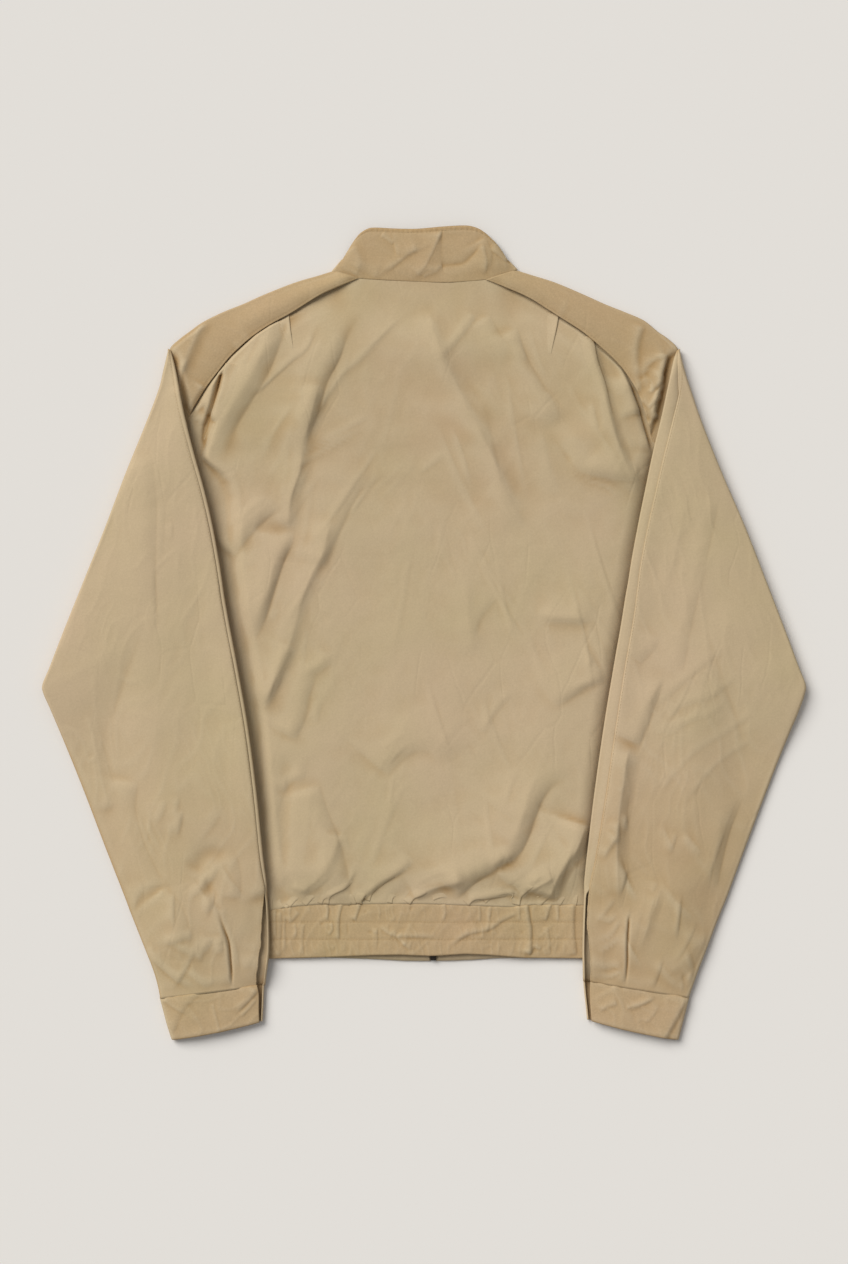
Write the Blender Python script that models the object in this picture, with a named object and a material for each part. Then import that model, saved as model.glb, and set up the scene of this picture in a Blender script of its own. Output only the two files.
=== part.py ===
"""A harrington jacket lying face down on a flat surface, with both sleeves folded back over it.

Seen from above with the collar at the top, +X is to the right, +Y runs from the hem to the collar
and +Z is up from the surface. The origin is the middle of the ground that the jacket covers.
Every size below is in millimetres; MM turns it into Blender's metres.
"""

import math

import bpy

MM = 0.001

# Cloth and seams
CLOTH = 1.2  # one layer of the shell
BAND_CLOTH = 2.0  # collar, waistband and cuffs are sewn double
SEAM_GAP = 0.35  # what stays open between two pieces that are sewn edge to edge
LAYER_GAP = 0.5  # air between two layers that lie on each other

# Body
WAIST_Y = -254.0
HEM_Y = -305.0
FRONT_HEM_Y = -308.5
HEM_LIFT = 3.8  # the back hem rises in the middle and shows the front waistband
WAIST_HALF = 224.0
HEM_HALF = 219.0
BACK_LOW = 1.6  # underside of the back panel at its side edges
BACK_HIGH = 4.4  # and over the zip
BACK_DOME = 2.6  # air under the middle of the back
SADDLE_LAP = 5.0  # how far the back panel runs under the saddle
WAISTBAND_LOW = 2.5  # underside of the back waistband at its sides
WAISTBAND_RISE = 2.7  # and how much more over the zip

# Folded sleeve
SLEEVE_OVER_BODY = 3.6  # underside of the sleeve above the underside of what it lies on
SLEEVE_AIR = 1.8  # between the two layers of the flattened sleeve
LOWER_DOME = 2.0
UPPER_DOME = 4.0
SLEEVE_SEAM_IN = 9.0  # the sleeve's seam lies this far inside its inner edge
VENT_TOP_Y = -236.0
VENT_STEP = 4.0  # at the vent the lower layer shows past the upper one by this much
SLEEVE_DROP = 25.0  # past the body's edge, the sleeve comes down to the ground in this distance

# Collar
COLLAR_FRONT_LOW = 0.2
COLLAR_FRONT_LIFT = 1.7  # the closed zip and its slider hold the front edges up
COLLAR_BACK_MID = 5.4  # middle of the collar's wall at the sides of the neck
COLLAR_BACK_RISE = 0.6  # and how much more over the slider

# Zip
ZIP_X = 8.7
ZIP_GAP = 5.2  # from the zip's axis to each front edge
TAPE_INNER = 3.3
TAPE_OUTER = 15.0
TAPE_CLOTH = 1.0
CHAIN_HALF = 3.0
CHAIN_THICK = 2.2
COIL_GAP = 0.3
ZIP_TOP_Y = 312.0
SLIDER_Y = 298.0
SLIDER_LENGTH = 12.0
SLIDER_WIDTH = 8.6
SLIDER_PLATE = 0.7
SLIDER_CLEAR = 0.3
SLIDER_ROOM = 2.9  # the slider lifts the back over it by this much
BRIDGE_DROP = 2.2
BRIDGE_BAR = 0.7
BRIDGE_HALF = 1.0
BRIDGE_ENDS = (-4.5, 4.5)
PULL_THICK = 0.8
PULL_WIDTH = 5.2
PULL_LENGTH = 24.0
PULL_ARM = 1.1
PULL_WINDOW = 7.2
BOX_WIDTH = 5.4
BOX_LENGTH = 9.5
BOX_HEIGHT = 3.2
BOX_END_Y = -307.0

COLOURS = {
    # name: ((red, green, blue), roughness, metallic)
    "shell": ((0.50, 0.40, 0.26), 0.85, 0.0),
    "zip_tape": ((0.05, 0.035, 0.025), 0.9, 0.0),
    "zip_metal": ((0.06, 0.055, 0.05), 0.4, 1.0),
}

# Half of the body below the armholes, one row per height.
SIDE_SEAM = (
    # y, half_width
    (WAIST_Y, WAIST_HALF),
    (-225.0, 227.0),
    (-190.0, 232.5),
    (-150.0, 238.5),
    (-110.0, 244.5),
    (-70.0, 250.5),
    (-30.0, 256.5),
    (7.0, 262.0),
)

# The saddle and upper arm, one row per section from the neck to the elbow where the sleeve folds.
# The back edge laps the back panel, the fold is the outline, the front edge meets the front.
SADDLE_SECTIONS = (
    # back_x, back_y, fold_x, fold_y, front_x, front_y, dome
    (62.0, 334.4, 85.6, 340.8, 88.0, 331.2, 0.6),
    (97.0, 318.0, 118.0, 331.5, 110.0, 320.0, 2.5),
    (126.0, 300.0, 151.0, 319.5, 145.0, 306.0, 3.2),
    (152.0, 285.0, 182.0, 306.5, 175.0, 293.0, 3.2),
    (173.0, 269.0, 208.0, 295.0, 198.0, 279.0, 3.2),
    (190.0, 250.0, 224.0, 284.0, 212.0, 265.0, 2.2),
    (203.0, 230.0, 239.5, 269.5, 222.0, 249.0, 0.4),
    (213.0, 209.0, 241.0, 240.0, 229.0, 224.0, 0.0),
    (221.0, 188.0, 252.0, 208.0, 233.0, 195.0, 0.0),
    (231.0, 150.0, 271.0, 158.0, 238.0, 155.0, 0.0),
    (240.0, 110.0, 289.0, 113.0, 243.0, 118.0, 0.0),
    (248.0, 70.0, 308.0, 64.0, 249.0, 76.0, 0.0),
    (255.0, 35.0, 329.0, 12.0, 255.5, 37.0, 0.0),
    (262.0, 7.0, 350.0, -43.0, 262.0, 7.0, 0.0),
)

# The part of the sleeve that is folded over the back, one row per section down to the cuff.
# arm_below is 1 while the upper arm lies under the section.
SLEEVE_SECTIONS = (
    # outer_x, outer_y, inner_x, inner_y, arm_below
    (243.5, 258.0, 236.5, 257.0, 1.0),
    (250.0, 232.0, 231.0, 233.0, 1.0),
    (262.0, 200.0, 223.5, 207.0, 1.0),
    (281.5, 150.0, 214.5, 170.0, 1.0),
    (301.5, 100.0, 206.0, 137.0, 1.0),
    (321.0, 50.0, 199.5, 105.0, 1.0),
    (341.0, 0.0, 193.0, 73.0, 1.0),
    (359.5, -50.0, 187.0, 42.0, 1.0),
    (352.5, -73.0, 182.0, 10.0, 0.0),
    (340.0, -102.0, 176.0, -26.0, 0.0),
    (320.5, -150.0, 167.5, -85.0, 0.0),
    (301.5, -200.0, 159.0, -150.0, 0.0),
    (284.0, -246.0, 153.0, -208.0, 0.0),
    (274.0, -273.0, 150.0, -243.0, 0.0),
    (262.0, -306.0, 150.5, -287.0, 0.0),
    (255.0, -325.0, 152.0, -311.5, 0.0),
    (250.5, -340.0, 155.0, -328.5, 0.0),
)
CUFF_SECTIONS = (
    # outer_x, outer_y, inner_x, inner_y
    (250.2, -340.5, 155.0, -329.0),
    (247.0, -351.0, 155.8, -337.0),
    (242.5, -366.0, 156.4, -349.0),
    (238.0, -382.0, 157.0, -361.5),
)

# The collar runs from the zip under the jacket, round the fold beside the neck and across the back.
# The last column of a front row is how far the zip's place off the middle still shifts the section.
COLLAR_FRONT = (
    # base_x, base_y, top_x, top_y, shift
    (5.2, 262.8, 5.2, 312.5, 1.0),
    (17.0, 264.8, 14.0, 313.5, 0.9),
    (31.0, 271.0, 24.0, 318.0, 0.7),
    (45.5, 283.0, 33.0, 328.0, 0.5),
    (58.0, 298.0, 42.0, 342.0, 0.3),
    (69.0, 318.0, 49.0, 359.0, 0.1),
)
COLLAR_FOLD = (84.0, 342.6, 57.0, 380.0)
COLLAR_BACK = (
    # base_x, base_y, top_x, top_y
    (72.0, 338.8, 51.0, 381.6),
    (60.0, 335.6, 42.0, 382.2),
    (44.0, 334.6, 31.0, 382.0),
    (22.0, 333.8, 15.0, 381.5),
    (0.0, 333.6, 0.0, 381.2),
)

# The fronts above the armpit, one row per section from the zip to the saddle's front edge.
# The rows that follow end at the collar's own sections.
FRONT_CHEST_ROWS = (7.0, 60.0, 110.0, 150.0, 185.0, 215.0, 240.0)
FRONT_NECK_END = (76.4, 329.4)

# The largest folds of the back, from one end to the other; a trough has a negative height.
BACK_FOLDS = (
    # from_x, from_y, to_x, to_y, half_width, height
    (-122.0, 292.0, -184.0, 190.0, 13.0, -3.2),
    (-104.0, 285.0, -160.0, 180.0, 13.0, 2.2),
    (-66.0, 305.0, -112.0, 205.0, 15.0, -2.8),
    (-112.0, 205.0, -128.0, 90.0, 15.0, -2.4),
    (-128.0, 90.0, -158.0, 0.0, 13.0, -2.6),
    (-168.0, 130.0, -160.0, 60.0, 20.0, 2.8),
    (-95.0, 85.0, -124.0, -10.0, 16.0, -2.0),
    (10.0, 300.0, 60.0, 185.0, 20.0, -2.4),
    (60.0, 185.0, 92.0, 95.0, 20.0, -2.2),
    (88.0, 285.0, 132.0, 180.0, 16.0, -2.0),
    (132.0, 180.0, 190.0, 138.0, 14.0, -2.0),
    (162.0, 262.0, 190.0, 150.0, 12.0, -3.0),
    (180.0, 255.0, 196.0, 190.0, 11.0, 2.0),
    (124.0, -136.0, 40.0, -232.0, 15.0, -3.4),
    (100.0, -125.0, 20.0, -215.0, 18.0, 2.2),
    (150.0, -180.0, 118.0, -240.0, 13.0, -3.0),
    (-105.0, -150.0, -72.0, -240.0, 16.0, -2.4),
    (-10.0, -205.0, -48.0, -246.0, 10.0, -2.0),
)
# Tucks pressed flat under the saddle: a strip of doubled cloth that narrows to a point.
# Lift is the tuck's middle above the middle of the panel.
TUCKS = (
    # name, top_x, top_y, tip_x, tip_y, width, lift
    ("tuck_left_inner", -128.0, 291.0, -124.5, 262.0, 7.0, 2.55),
    ("tuck_right_inner", 127.0, 290.0, 119.5, 259.0, 7.0, 1.9),
    ("tuck_left_outer", -186.0, 244.0, -201.0, 188.0, 10.0, 1.85),
    ("tuck_right_outer", 163.0, 266.0, 180.0, 200.0, 10.0, 1.75),
)
TUCK_TIP_WIDTH = 2.0


def clamp(value):
    return min(1.0, max(0.0, value))


def smooth(low, high, value):
    """0 at low and 1 at high, with level ends; low may be the larger."""
    t = clamp((value - low) / (high - low))
    return t * t * (3.0 - 2.0 * t)


def lerp(a, b, t):
    return a + (b - a) * t


def between(first, second, t):
    return tuple(lerp(a, b, t) for a, b in zip(first, second))


def spread(first, last, count):
    return [lerp(first, last, i / (count - 1)) for i in range(count)]


def arc(centre_x, centre_z, radius, first, last, count):
    """Points of a bend in the cloth, as (x, z), between two angles in degrees."""
    angles = [math.radians(a) for a in spread(first, last, count)]
    return [(centre_x + radius * math.cos(a), centre_z + radius * math.sin(a)) for a in angles]


def read_table(rows, key, key_column=0, value_column=1):
    """The table's value at a key, straight between rows. The keys run downwards or upwards."""
    ordered = sorted(rows, key=lambda row: row[key_column])
    if key <= ordered[0][key_column]:
        return ordered[0][value_column]
    for low, high in zip(ordered, ordered[1:]):
        if key <= high[key_column]:
            t = (key - low[key_column]) / (high[key_column] - low[key_column])
            return lerp(low[value_column], high[value_column], t)
    return ordered[-1][value_column]


# ---- where the layers lie ----


def sleeve_inner_x(y):
    return read_table(SLEEVE_SECTIONS, y, 3, 2)


def fold_height(x, y):
    total = 0.0
    for x0, y0, x1, y1, half_width, height in BACK_FOLDS:
        dx, dy = x1 - x0, y1 - y0
        t = clamp(((x - x0) * dx + (y - y0) * dy) / (dx * dx + dy * dy))
        away = math.hypot(x - x0 - dx * t, y - y0 - dy * t)
        total += height * math.exp(-((away / half_width) ** 2))
    return total


def waistband_low(x):
    """Underside of the back waistband, which is lifted where it lies on the zip."""
    return WAISTBAND_LOW + WAISTBAND_RISE * smooth(120.0, 14.0, abs(x - ZIP_X))


def back_seat(x, y):
    """Underside of the back panel with no folds: low at its edges, lifted by what lies inside."""
    low = lerp(BACK_LOW, BACK_HIGH, smooth(222.0, 150.0, abs(x)))
    low += SLIDER_ROOM * smooth(75.0, 20.0, math.hypot(x - ZIP_X, y - SLIDER_Y))
    return lerp(low, waistband_low(x) + 0.4, smooth(-215.0, WAIST_Y, y))


def back_low(x, y):
    """Underside of the back panel. It dives under the sleeves and is held at both ends."""
    reach = min(sleeve_inner_x(y), read_table(SADDLE_SECTIONS, y, 1, 0))
    inside = smooth(reach - 4.0, reach - 34.0, abs(x))
    held = smooth(WAIST_Y, WAIST_Y + 45.0, y) * smooth(333.0, 293.0, y)
    return back_seat(x, y) + inside * held * (BACK_DOME + max(fold_height(x, y), -BACK_DOME))


def front_lift(x, y):
    """The fronts are flat on the ground; only the top of the closed zip lifts them a little."""
    return COLLAR_FRONT_LIFT * smooth(90.0, 15.0, abs(x - ZIP_X)) * smooth(185.0, 250.0, y)


def side_x(y):
    return read_table(SIDE_SEAM, y)


def sleeve_low(x, y, arm_below):
    """Underside of the folded sleeve: on the body or the upper arm, and on the ground past them."""
    past_body = smooth(SLEEVE_DROP + 4.0, 4.0, abs(x) - side_x(y))
    return max(past_body, arm_below) * smooth(-336.0, -313.0, y) * (back_seat(x, y) + SLEEVE_OVER_BODY)


def zip_level(y):
    """Middle of the zip's tape, which is sewn inside the fronts, the waistband and the collar."""
    over = LAYER_GAP + TAPE_CLOTH / 2
    if y < WAIST_Y + 4.0:
        return BAND_CLOTH + over
    on_front = lerp(BAND_CLOTH, CLOTH, smooth(WAIST_Y + 4.0, WAIST_Y + 20.0, y)) + front_lift(ZIP_X, y)
    on_collar = COLLAR_FRONT_LOW + COLLAR_FRONT_LIFT + BAND_CLOTH
    return lerp(on_front, on_collar, smooth(248.0, 261.0, y)) + over


# ---- making meshes ----


def material(name):
    made = bpy.data.materials.get(name)
    if made:
        return made
    colour, roughness, metallic = COLOURS[name]
    made = bpy.data.materials.new(name)
    made.use_nodes = True
    shader = made.node_tree.nodes["Principled BSDF"]
    shader.inputs["Base Color"].default_value = (*colour, 1.0)
    shader.inputs["Roughness"].default_value = roughness
    shader.inputs["Metallic"].default_value = metallic
    made.diffuse_color = (*colour, 1.0)
    return made


def mesh_object(name, points, faces, finish):
    mesh = bpy.data.meshes.new(name)
    mesh.from_pydata([tuple(c * MM for c in p) for p in points], [], faces)
    mesh.materials.append(material(finish))
    made = bpy.data.objects.new(name, mesh)
    bpy.context.scene.collection.objects.link(made)
    return made


def cloth(name, rows, thickness=CLOTH, finish="shell"):
    """A wall of cloth round a grid of points: each row is one section, given at mid thickness."""
    width = len(rows[0])
    points = [p for row in rows for p in row]
    faces = [
        (r * width + c, r * width + c + 1, (r + 1) * width + c + 1, (r + 1) * width + c)
        for r in range(len(rows) - 1)
        for c in range(width - 1)
    ]
    made = mesh_object(name, points, faces, finish)
    wall = made.modifiers.new("wall", "SOLIDIFY")
    wall.thickness = thickness * MM
    wall.offset = 0.0
    wall.use_even_offset = True
    wall.use_quality_normals = True
    made.data.shade_smooth()
    made.data.set_sharp_from_angle(angle=math.radians(40.0))
    return made


def block(name, low, high, finish="zip_metal"):
    """A box between two corners."""
    corners = [(x, y, z) for z in (low[2], high[2]) for y in (low[1], high[1]) for x in (low[0], high[0])]
    faces = [(0, 2, 3, 1), (4, 5, 7, 6), (0, 1, 5, 4), (2, 6, 7, 3), (0, 4, 6, 2), (1, 3, 7, 5)]
    return mesh_object(name, corners, faces, finish)


def join_into(target, others):
    """Boolean-unions helper shapes into the target, and keeps the helpers out of the model."""
    for other in others:
        union = target.modifiers.new("joined", "BOOLEAN")
        union.operation = "UNION"
        union.object = other
        other.hide_render = True
        other.display_type = "WIRE"


def named(side, before, after=""):
    return f"{before}_{'left' if side < 0 else 'right'}{after}"


# ---- body ----


def back_sections():
    """Rows of the back panel: side seam to side seam, then lap to lap under the two saddles."""
    rows = []
    for y, half in SIDE_SEAM:
        y = y + SEAM_GAP if y == WAIST_Y else y
        rows.append([(x, y, back_low(x, y) + CLOTH / 2) for x in spread(-half, half, 25)])
    for back_x, back_y, fold_x, fold_y, *_ in SADDLE_SECTIONS[-2::-1]:
        length = math.hypot(fold_x - back_x, fold_y - back_y)
        lap_x, lap_y = between((back_x, back_y), (fold_x, fold_y), SADDLE_LAP / length)
        flat = [(x, back_y) for x in spread(-back_x, back_x, 23)]
        if back_y == SADDLE_SECTIONS[0][1]:
            lap_x, lap_y = back_x + SADDLE_LAP, back_y + 0.4
            flat = [(x, lerp(333.0, back_y, (x / back_x) ** 2)) for x, _ in flat]
        outline = [(-lap_x, lap_y), *flat, (lap_x, lap_y)]
        rows.append([(x, y, back_low(x, y) + CLOTH / 2) for x, y in outline])
    return rows


def height_on(rows, x, y):
    """Height of a panel's own grid of points above (x, y), straight between its points."""

    def along(row):
        return read_table(row, x, 0, 2)

    for low, high in zip(rows, rows[1:]):
        low_y, high_y = low[len(low) // 2][1], high[len(high) // 2][1]
        if y <= high_y:
            return lerp(along(low), along(high), clamp((y - low_y) / (high_y - low_y)))
    return along(rows[-1])


def tuck(panel, name, top_x, top_y, tip_x, tip_y, width, lift):
    """The doubled cloth of a pressed tuck, made from the back panel's points and moved out."""
    rows = []
    for t in spread(0.0, 1.0, 5):
        x, y = between((top_x, top_y), (tip_x, tip_y), t)
        half = lerp(width, TUCK_TIP_WIDTH, t) / 2
        rows.append([(px, y, height_on(panel, px, y) + lift) for px in (x - half, x, x + half)])
    return cloth(name, rows)


def front_panel(side):
    rows = []

    def row(inner, outer):
        points = [between(inner, outer, t) for t in spread(0.0, 1.0, 7)]
        rows.append([(x, y, front_lift(x, y) + CLOTH / 2) for x, y in points])

    edge = ZIP_X + side * ZIP_GAP
    for y, half in SIDE_SEAM[:-1:2]:
        y = y + SEAM_GAP if y == WAIST_Y else y
        row((edge, y), (side * half, y))
    armhole = [(side * (s[4] - SEAM_GAP), s[5] - SEAM_GAP) for s in SADDLE_SECTIONS[::-1]]
    neck = [(edge, y) for y in FRONT_CHEST_ROWS]
    neck += [(side * (x + SEAM_GAP) + shift * ZIP_X, y - SEAM_GAP) for x, y, _, _, shift in COLLAR_FRONT]
    neck[len(FRONT_CHEST_ROWS)] = (edge, COLLAR_FRONT[0][1] - SEAM_GAP)
    neck.append((side * (FRONT_NECK_END[0] + SEAM_GAP), FRONT_NECK_END[1]))
    for inner, outer in zip(neck, armhole):
        row(inner, outer)
    return cloth(named(side, "front", "_panel"), rows)


def waistband_back():
    rows = []
    for t in spread(0.0, 1.0, 4):
        row = []
        for u in spread(-1.0, 1.0, 25):
            x = u * lerp(WAIST_HALF, HEM_HALF, t)
            hem = HEM_Y + HEM_LIFT * smooth(100.0, 20.0, abs(x - ZIP_X))
            row.append((x, lerp(WAIST_Y, hem, t), waistband_low(x) + BAND_CLOTH / 2))
        rows.append(row)
    return cloth("waistband_back", rows, BAND_CLOTH)


def waistband_front(side):
    rows = []
    for t in spread(0.0, 1.0, 3):
        row = []
        for u in spread(0.0, 1.0, 8):
            x = lerp(ZIP_X + side * ZIP_GAP, side * lerp(WAIST_HALF, HEM_HALF, t), u)
            hem = lerp(FRONT_HEM_Y, HEM_Y + 0.5, smooth(60.0, 140.0, abs(x)))
            row.append((x, lerp(WAIST_Y, hem, t), BAND_CLOTH / 2))
        rows.append(row)
    return cloth(named(side, "waistband_front"), rows, BAND_CLOTH)


# ---- collar ----


def collar_half(side):
    """Sections of half the collar from the front edge to the middle of the back."""

    def front_mid(x):
        return COLLAR_FRONT_LOW + BAND_CLOTH / 2 + COLLAR_FRONT_LIFT * smooth(90.0, 15.0, abs(x - ZIP_X))

    sections = []
    for base_x, base_y, top_x, top_y, shift in COLLAR_FRONT:
        base = (side * base_x + shift * ZIP_X, base_y)
        top = (side * top_x + shift * ZIP_X, top_y)
        sections.append((base, top, front_mid(base[0]), front_mid(top[0])))
    base_x, base_y, top_x, top_y = COLLAR_FOLD
    low = front_mid(side * base_x)
    radius = (COLLAR_BACK_MID - low) / 2
    for x, z in arc(-radius, low + radius, radius, -90.0, 90.0, 5):
        sections.append(((side * (base_x + x), base_y), (side * (top_x + x), top_y), z, z))
    for base_x, base_y, top_x, top_y in COLLAR_BACK:
        level = COLLAR_BACK_MID + COLLAR_BACK_RISE * smooth(80.0, 20.0, base_x)
        sections.append(((side * base_x, base_y), (side * top_x, top_y), level, level))
    return sections


def collar():
    """One stand collar from front edge to front edge, folded flat at both sides of the neck."""
    rows = []
    for base, top, base_z, top_z in collar_half(-1.0) + collar_half(1.0)[-2::-1]:
        rows.append([between((*base, base_z), (*top, top_z), v) for v in spread(0.0, 1.0, 4)])
    return cloth("collar", rows, BAND_CLOTH)


# ---- sleeves ----


def sleeve_upper(side):
    """Saddle and upper arm: a flattened tube, folded at the shoulder line, open towards the body."""
    rows = []
    low_mid = CLOTH / 2
    fold_mid = BACK_LOW + CLOTH + LAYER_GAP + CLOTH / 2
    radius = (fold_mid - low_mid) / 2
    for back_x, back_y, fold_x, fold_y, front_x, front_y, dome in SADDLE_SECTIONS:
        back, fold = (back_x, back_y), (fold_x - radius, fold_y)
        lap = (SADDLE_LAP + 1.5) / math.hypot(fold_x - back_x, fold_y - back_y)
        row = []
        for t in [0.0, *spread(lap, 1.0, 5)]:
            x, y = between(back, fold, t)
            on_panel = back_seat(x, y) + CLOTH + LAYER_GAP + CLOTH / 2
            z = lerp(on_panel, fold_mid, smooth(lap, 1.0, t))
            row.append((x, y, z + dome * math.sin(math.pi * smooth(lap, 1.0, t))))
        row += [(x, fold_y, z) for x, z in arc(fold[0], low_mid + radius, radius, 45.0, -45.0, 3)]
        for t in spread(0.0, 1.0, 4):
            row.append((*between(fold, (front_x, front_y), t), low_mid))
        rows.append([(side * x, y, z) for x, y, z in row])
    return cloth(named(side, "sleeve", "_upper"), rows)


def sleeve_columns(section, start, end):
    """Where a section's points lie, from its inner edge, 0, to its outer edge, 1."""
    outer_x, outer_y, inner_x, inner_y, _ = section
    width = outer_x - inner_x
    on_body = 0.5
    for _ in range(3):
        y = lerp(inner_y, outer_y, on_body)
        on_body = (side_x(y) + 4.0 - inner_x) / width
        on_body = min(lerp(start, end, 0.75), max(lerp(start, end, 0.45), on_body))
    down = min(lerp(start, end, 0.92), on_body + SLEEVE_DROP / width)
    return [*spread(start, on_body, 5), (on_body + down) / 2, down, end]


def sleeve_heights(section, t):
    """Middle of the lower and of the upper layer at a point of the section."""
    outer_x, outer_y, inner_x, inner_y, arm_below = section
    width = outer_x - inner_x
    x, y = between((inner_x, inner_y), (outer_x, outer_y), t)
    low = sleeve_low(x, y, arm_below)
    resting = low / (back_seat(x, y) + SLEEVE_OVER_BODY)
    bulge = math.sin(math.pi * t) ** 0.8 * smooth(8.0, 60.0, width)
    lower = low + CLOTH / 2 + LOWER_DOME * bulge * resting
    upper = low + CLOTH / 2 + CLOTH + SLEEVE_AIR + lerp(UPPER_DOME - LOWER_DOME, UPPER_DOME, resting) * bulge
    return lower, upper


def sleeve_front(side):
    """The layer that shows: from the seam near the inner edge, round the outer edge, to the ground."""
    rows = []
    for section in SLEEVE_SECTIONS:
        outer_x, outer_y, inner_x, inner_y, _ = section
        width = outer_x - inner_x
        bend = (CLOTH + SLEEVE_AIR) / 2
        seam = min(bend + SLEEVE_SEAM_IN, width * 0.45) if inner_y > VENT_TOP_Y else 1.0
        start = (seam + SEAM_GAP) / width
        edge_mid = sleeve_heights(section, 1.0)[1]
        radius = min((edge_mid - CLOTH / 2) / 2, width * 0.25)
        end = 1.0 - radius / width
        row = []
        for t in sleeve_columns(section, start, end):
            x, y = between((inner_x, inner_y), (outer_x, outer_y), t)
            row.append((x, y, sleeve_heights(section, t)[1] if t < end else edge_mid))
        bend_points = arc(outer_x - radius, edge_mid - radius, radius, 45.0, -45.0, 3)
        row += [(x, row[-1][1], z) for x, z in bend_points]
        row.append((outer_x - radius, row[-1][1], edge_mid - 2.0 * radius))
        rows.append([(side * x, y, z) for x, y, z in row])
    return cloth(named(side, "sleeve", "_front"), rows)


def sleeve_back(side):
    """The layer underneath, which turns up round the inner edge to the seam and is open at the vent."""
    rows = []
    for section in SLEEVE_SECTIONS:
        outer_x, outer_y, inner_x, inner_y, _ = section
        width = outer_x - inner_x
        bend = min((CLOTH + SLEEVE_AIR) / 2, width * 0.25)
        end = 1.0 - min(5.0, width * 0.35) / width
        start_mid = sleeve_heights(section, 0.0)[0]
        row = []
        for t in sleeve_columns(section, bend / width, end)[::-1]:
            x, y = between((inner_x, inner_y), (outer_x, outer_y), t)
            row.append((x, y, sleeve_heights(section, t)[0]))
        if inner_y > VENT_TOP_Y:
            row += [(x, inner_y, z) for x, z in arc(inner_x + bend, start_mid + bend, bend, 225.0, 90.0, 4)]
            lip = min(bend + SLEEVE_SEAM_IN, width * 0.45)
            row.append((inner_x + lip, inner_y, start_mid + 2.0 * bend))
        else:
            row += [(x, inner_y, start_mid) for x in spread(inner_x, inner_x - VENT_STEP, 5)]
        rows.append([(side * x, y, z) for x, y, z in row])
    return cloth(named(side, "sleeve", "_back"), rows)


def cuff(side):
    """A doubled band, folded at its outer edge and open at the vent."""
    radius = (BAND_CLOTH + SLEEVE_AIR) / 2
    low_mid = BAND_CLOTH / 2
    rows = []
    for outer_x, outer_y, inner_x, inner_y in CUFF_SECTIONS:
        fold = (outer_x - radius, outer_y)
        row = []
        for t in spread(0.0, 1.0, 7):
            z = low_mid + 2.0 * radius + 1.2 * math.sin(math.pi * t)
            row.append((*between((inner_x, inner_y), fold, t), z))
        row += [(x, outer_y, z) for x, z in arc(fold[0], low_mid + radius, radius, 45.0, -45.0, 3)]
        for t in spread(0.0, 1.0, 4):
            row.append((*between(fold, (inner_x - VENT_STEP, inner_y), t), low_mid))
        rows.append([(side * x, y, z) for x, y, z in row])
    return cloth(named(side, "cuff"), rows, BAND_CLOTH)


# ---- zip ----


def zip_rows(first_y, last_y, inner, outer, side):
    """Sections of a strip that follows the zip, one at each height where its level changes."""
    bends = [-275.0, WAIST_Y + 4.0, WAIST_Y + 20.0, -100.0, 7.0, *FRONT_CHEST_ROWS[1:], 251.0, 261.0]
    heights = [first_y, *[y for y in bends if first_y < y < last_y], last_y]
    return [[(ZIP_X + side * x, y, zip_level(y)) for x in (inner, outer)] for y in heights]


def zip_tape(side):
    rows = zip_rows(HEM_Y - 1.0, ZIP_TOP_Y, TAPE_INNER, TAPE_OUTER, side)
    return cloth(named(side, "zip_tape"), rows, TAPE_CLOTH, "zip_tape")


def zip_chain(side):
    """One side's row of teeth, as the bar that they fill."""
    rows = zip_rows(BOX_END_Y + BOX_LENGTH + SEAM_GAP, SLIDER_Y, COIL_GAP / 2, CHAIN_HALF, side)
    return cloth(named(side, "zip_chain"), rows, CHAIN_THICK, "zip_metal")


def slider_levels():
    """Outer and inner faces of the slider's two plates, as heights."""
    mid = zip_level(SLIDER_Y)
    inner = CHAIN_THICK / 2 + SLIDER_CLEAR
    return mid - inner - SLIDER_PLATE, mid - inner, mid + inner, mid + inner + SLIDER_PLATE


def zip_slider():
    """Two plates joined by a wedge, with the bridge that holds the pull on the face of the jacket."""
    bottom, low, high, top = slider_levels()
    half_w, half_l = SLIDER_WIDTH / 2, SLIDER_LENGTH / 2
    bridge = bottom - BRIDGE_DROP

    def part(name, half, first_y, last_y, low_z, high_z):
        return block(name, (ZIP_X - half, SLIDER_Y + first_y, low_z), (ZIP_X + half, SLIDER_Y + last_y, high_z))

    slider = part("zip_slider", half_w, -half_l, half_l, high, top)
    lower = part("slider_lower_plate", half_w, -half_l, half_l, bottom, low)
    wedge = part("slider_wedge", 1.3, 0.5, half_l - 0.3, bottom + 0.2, top - 0.2)
    first, last = BRIDGE_ENDS
    near_post = part("slider_near_post", BRIDGE_HALF, first, first + 1.0, bridge + 0.1, bottom + 0.3)
    far_post = part("slider_far_post", BRIDGE_HALF, last - 1.0, last, bridge + 0.1, bottom + 0.3)
    bar = part("slider_bar", BRIDGE_HALF - 0.05, first + 0.05, last - 0.05, bridge, bridge + BRIDGE_BAR)
    join_into(slider, [lower, wedge, near_post, far_post, bar])
    return slider


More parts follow.
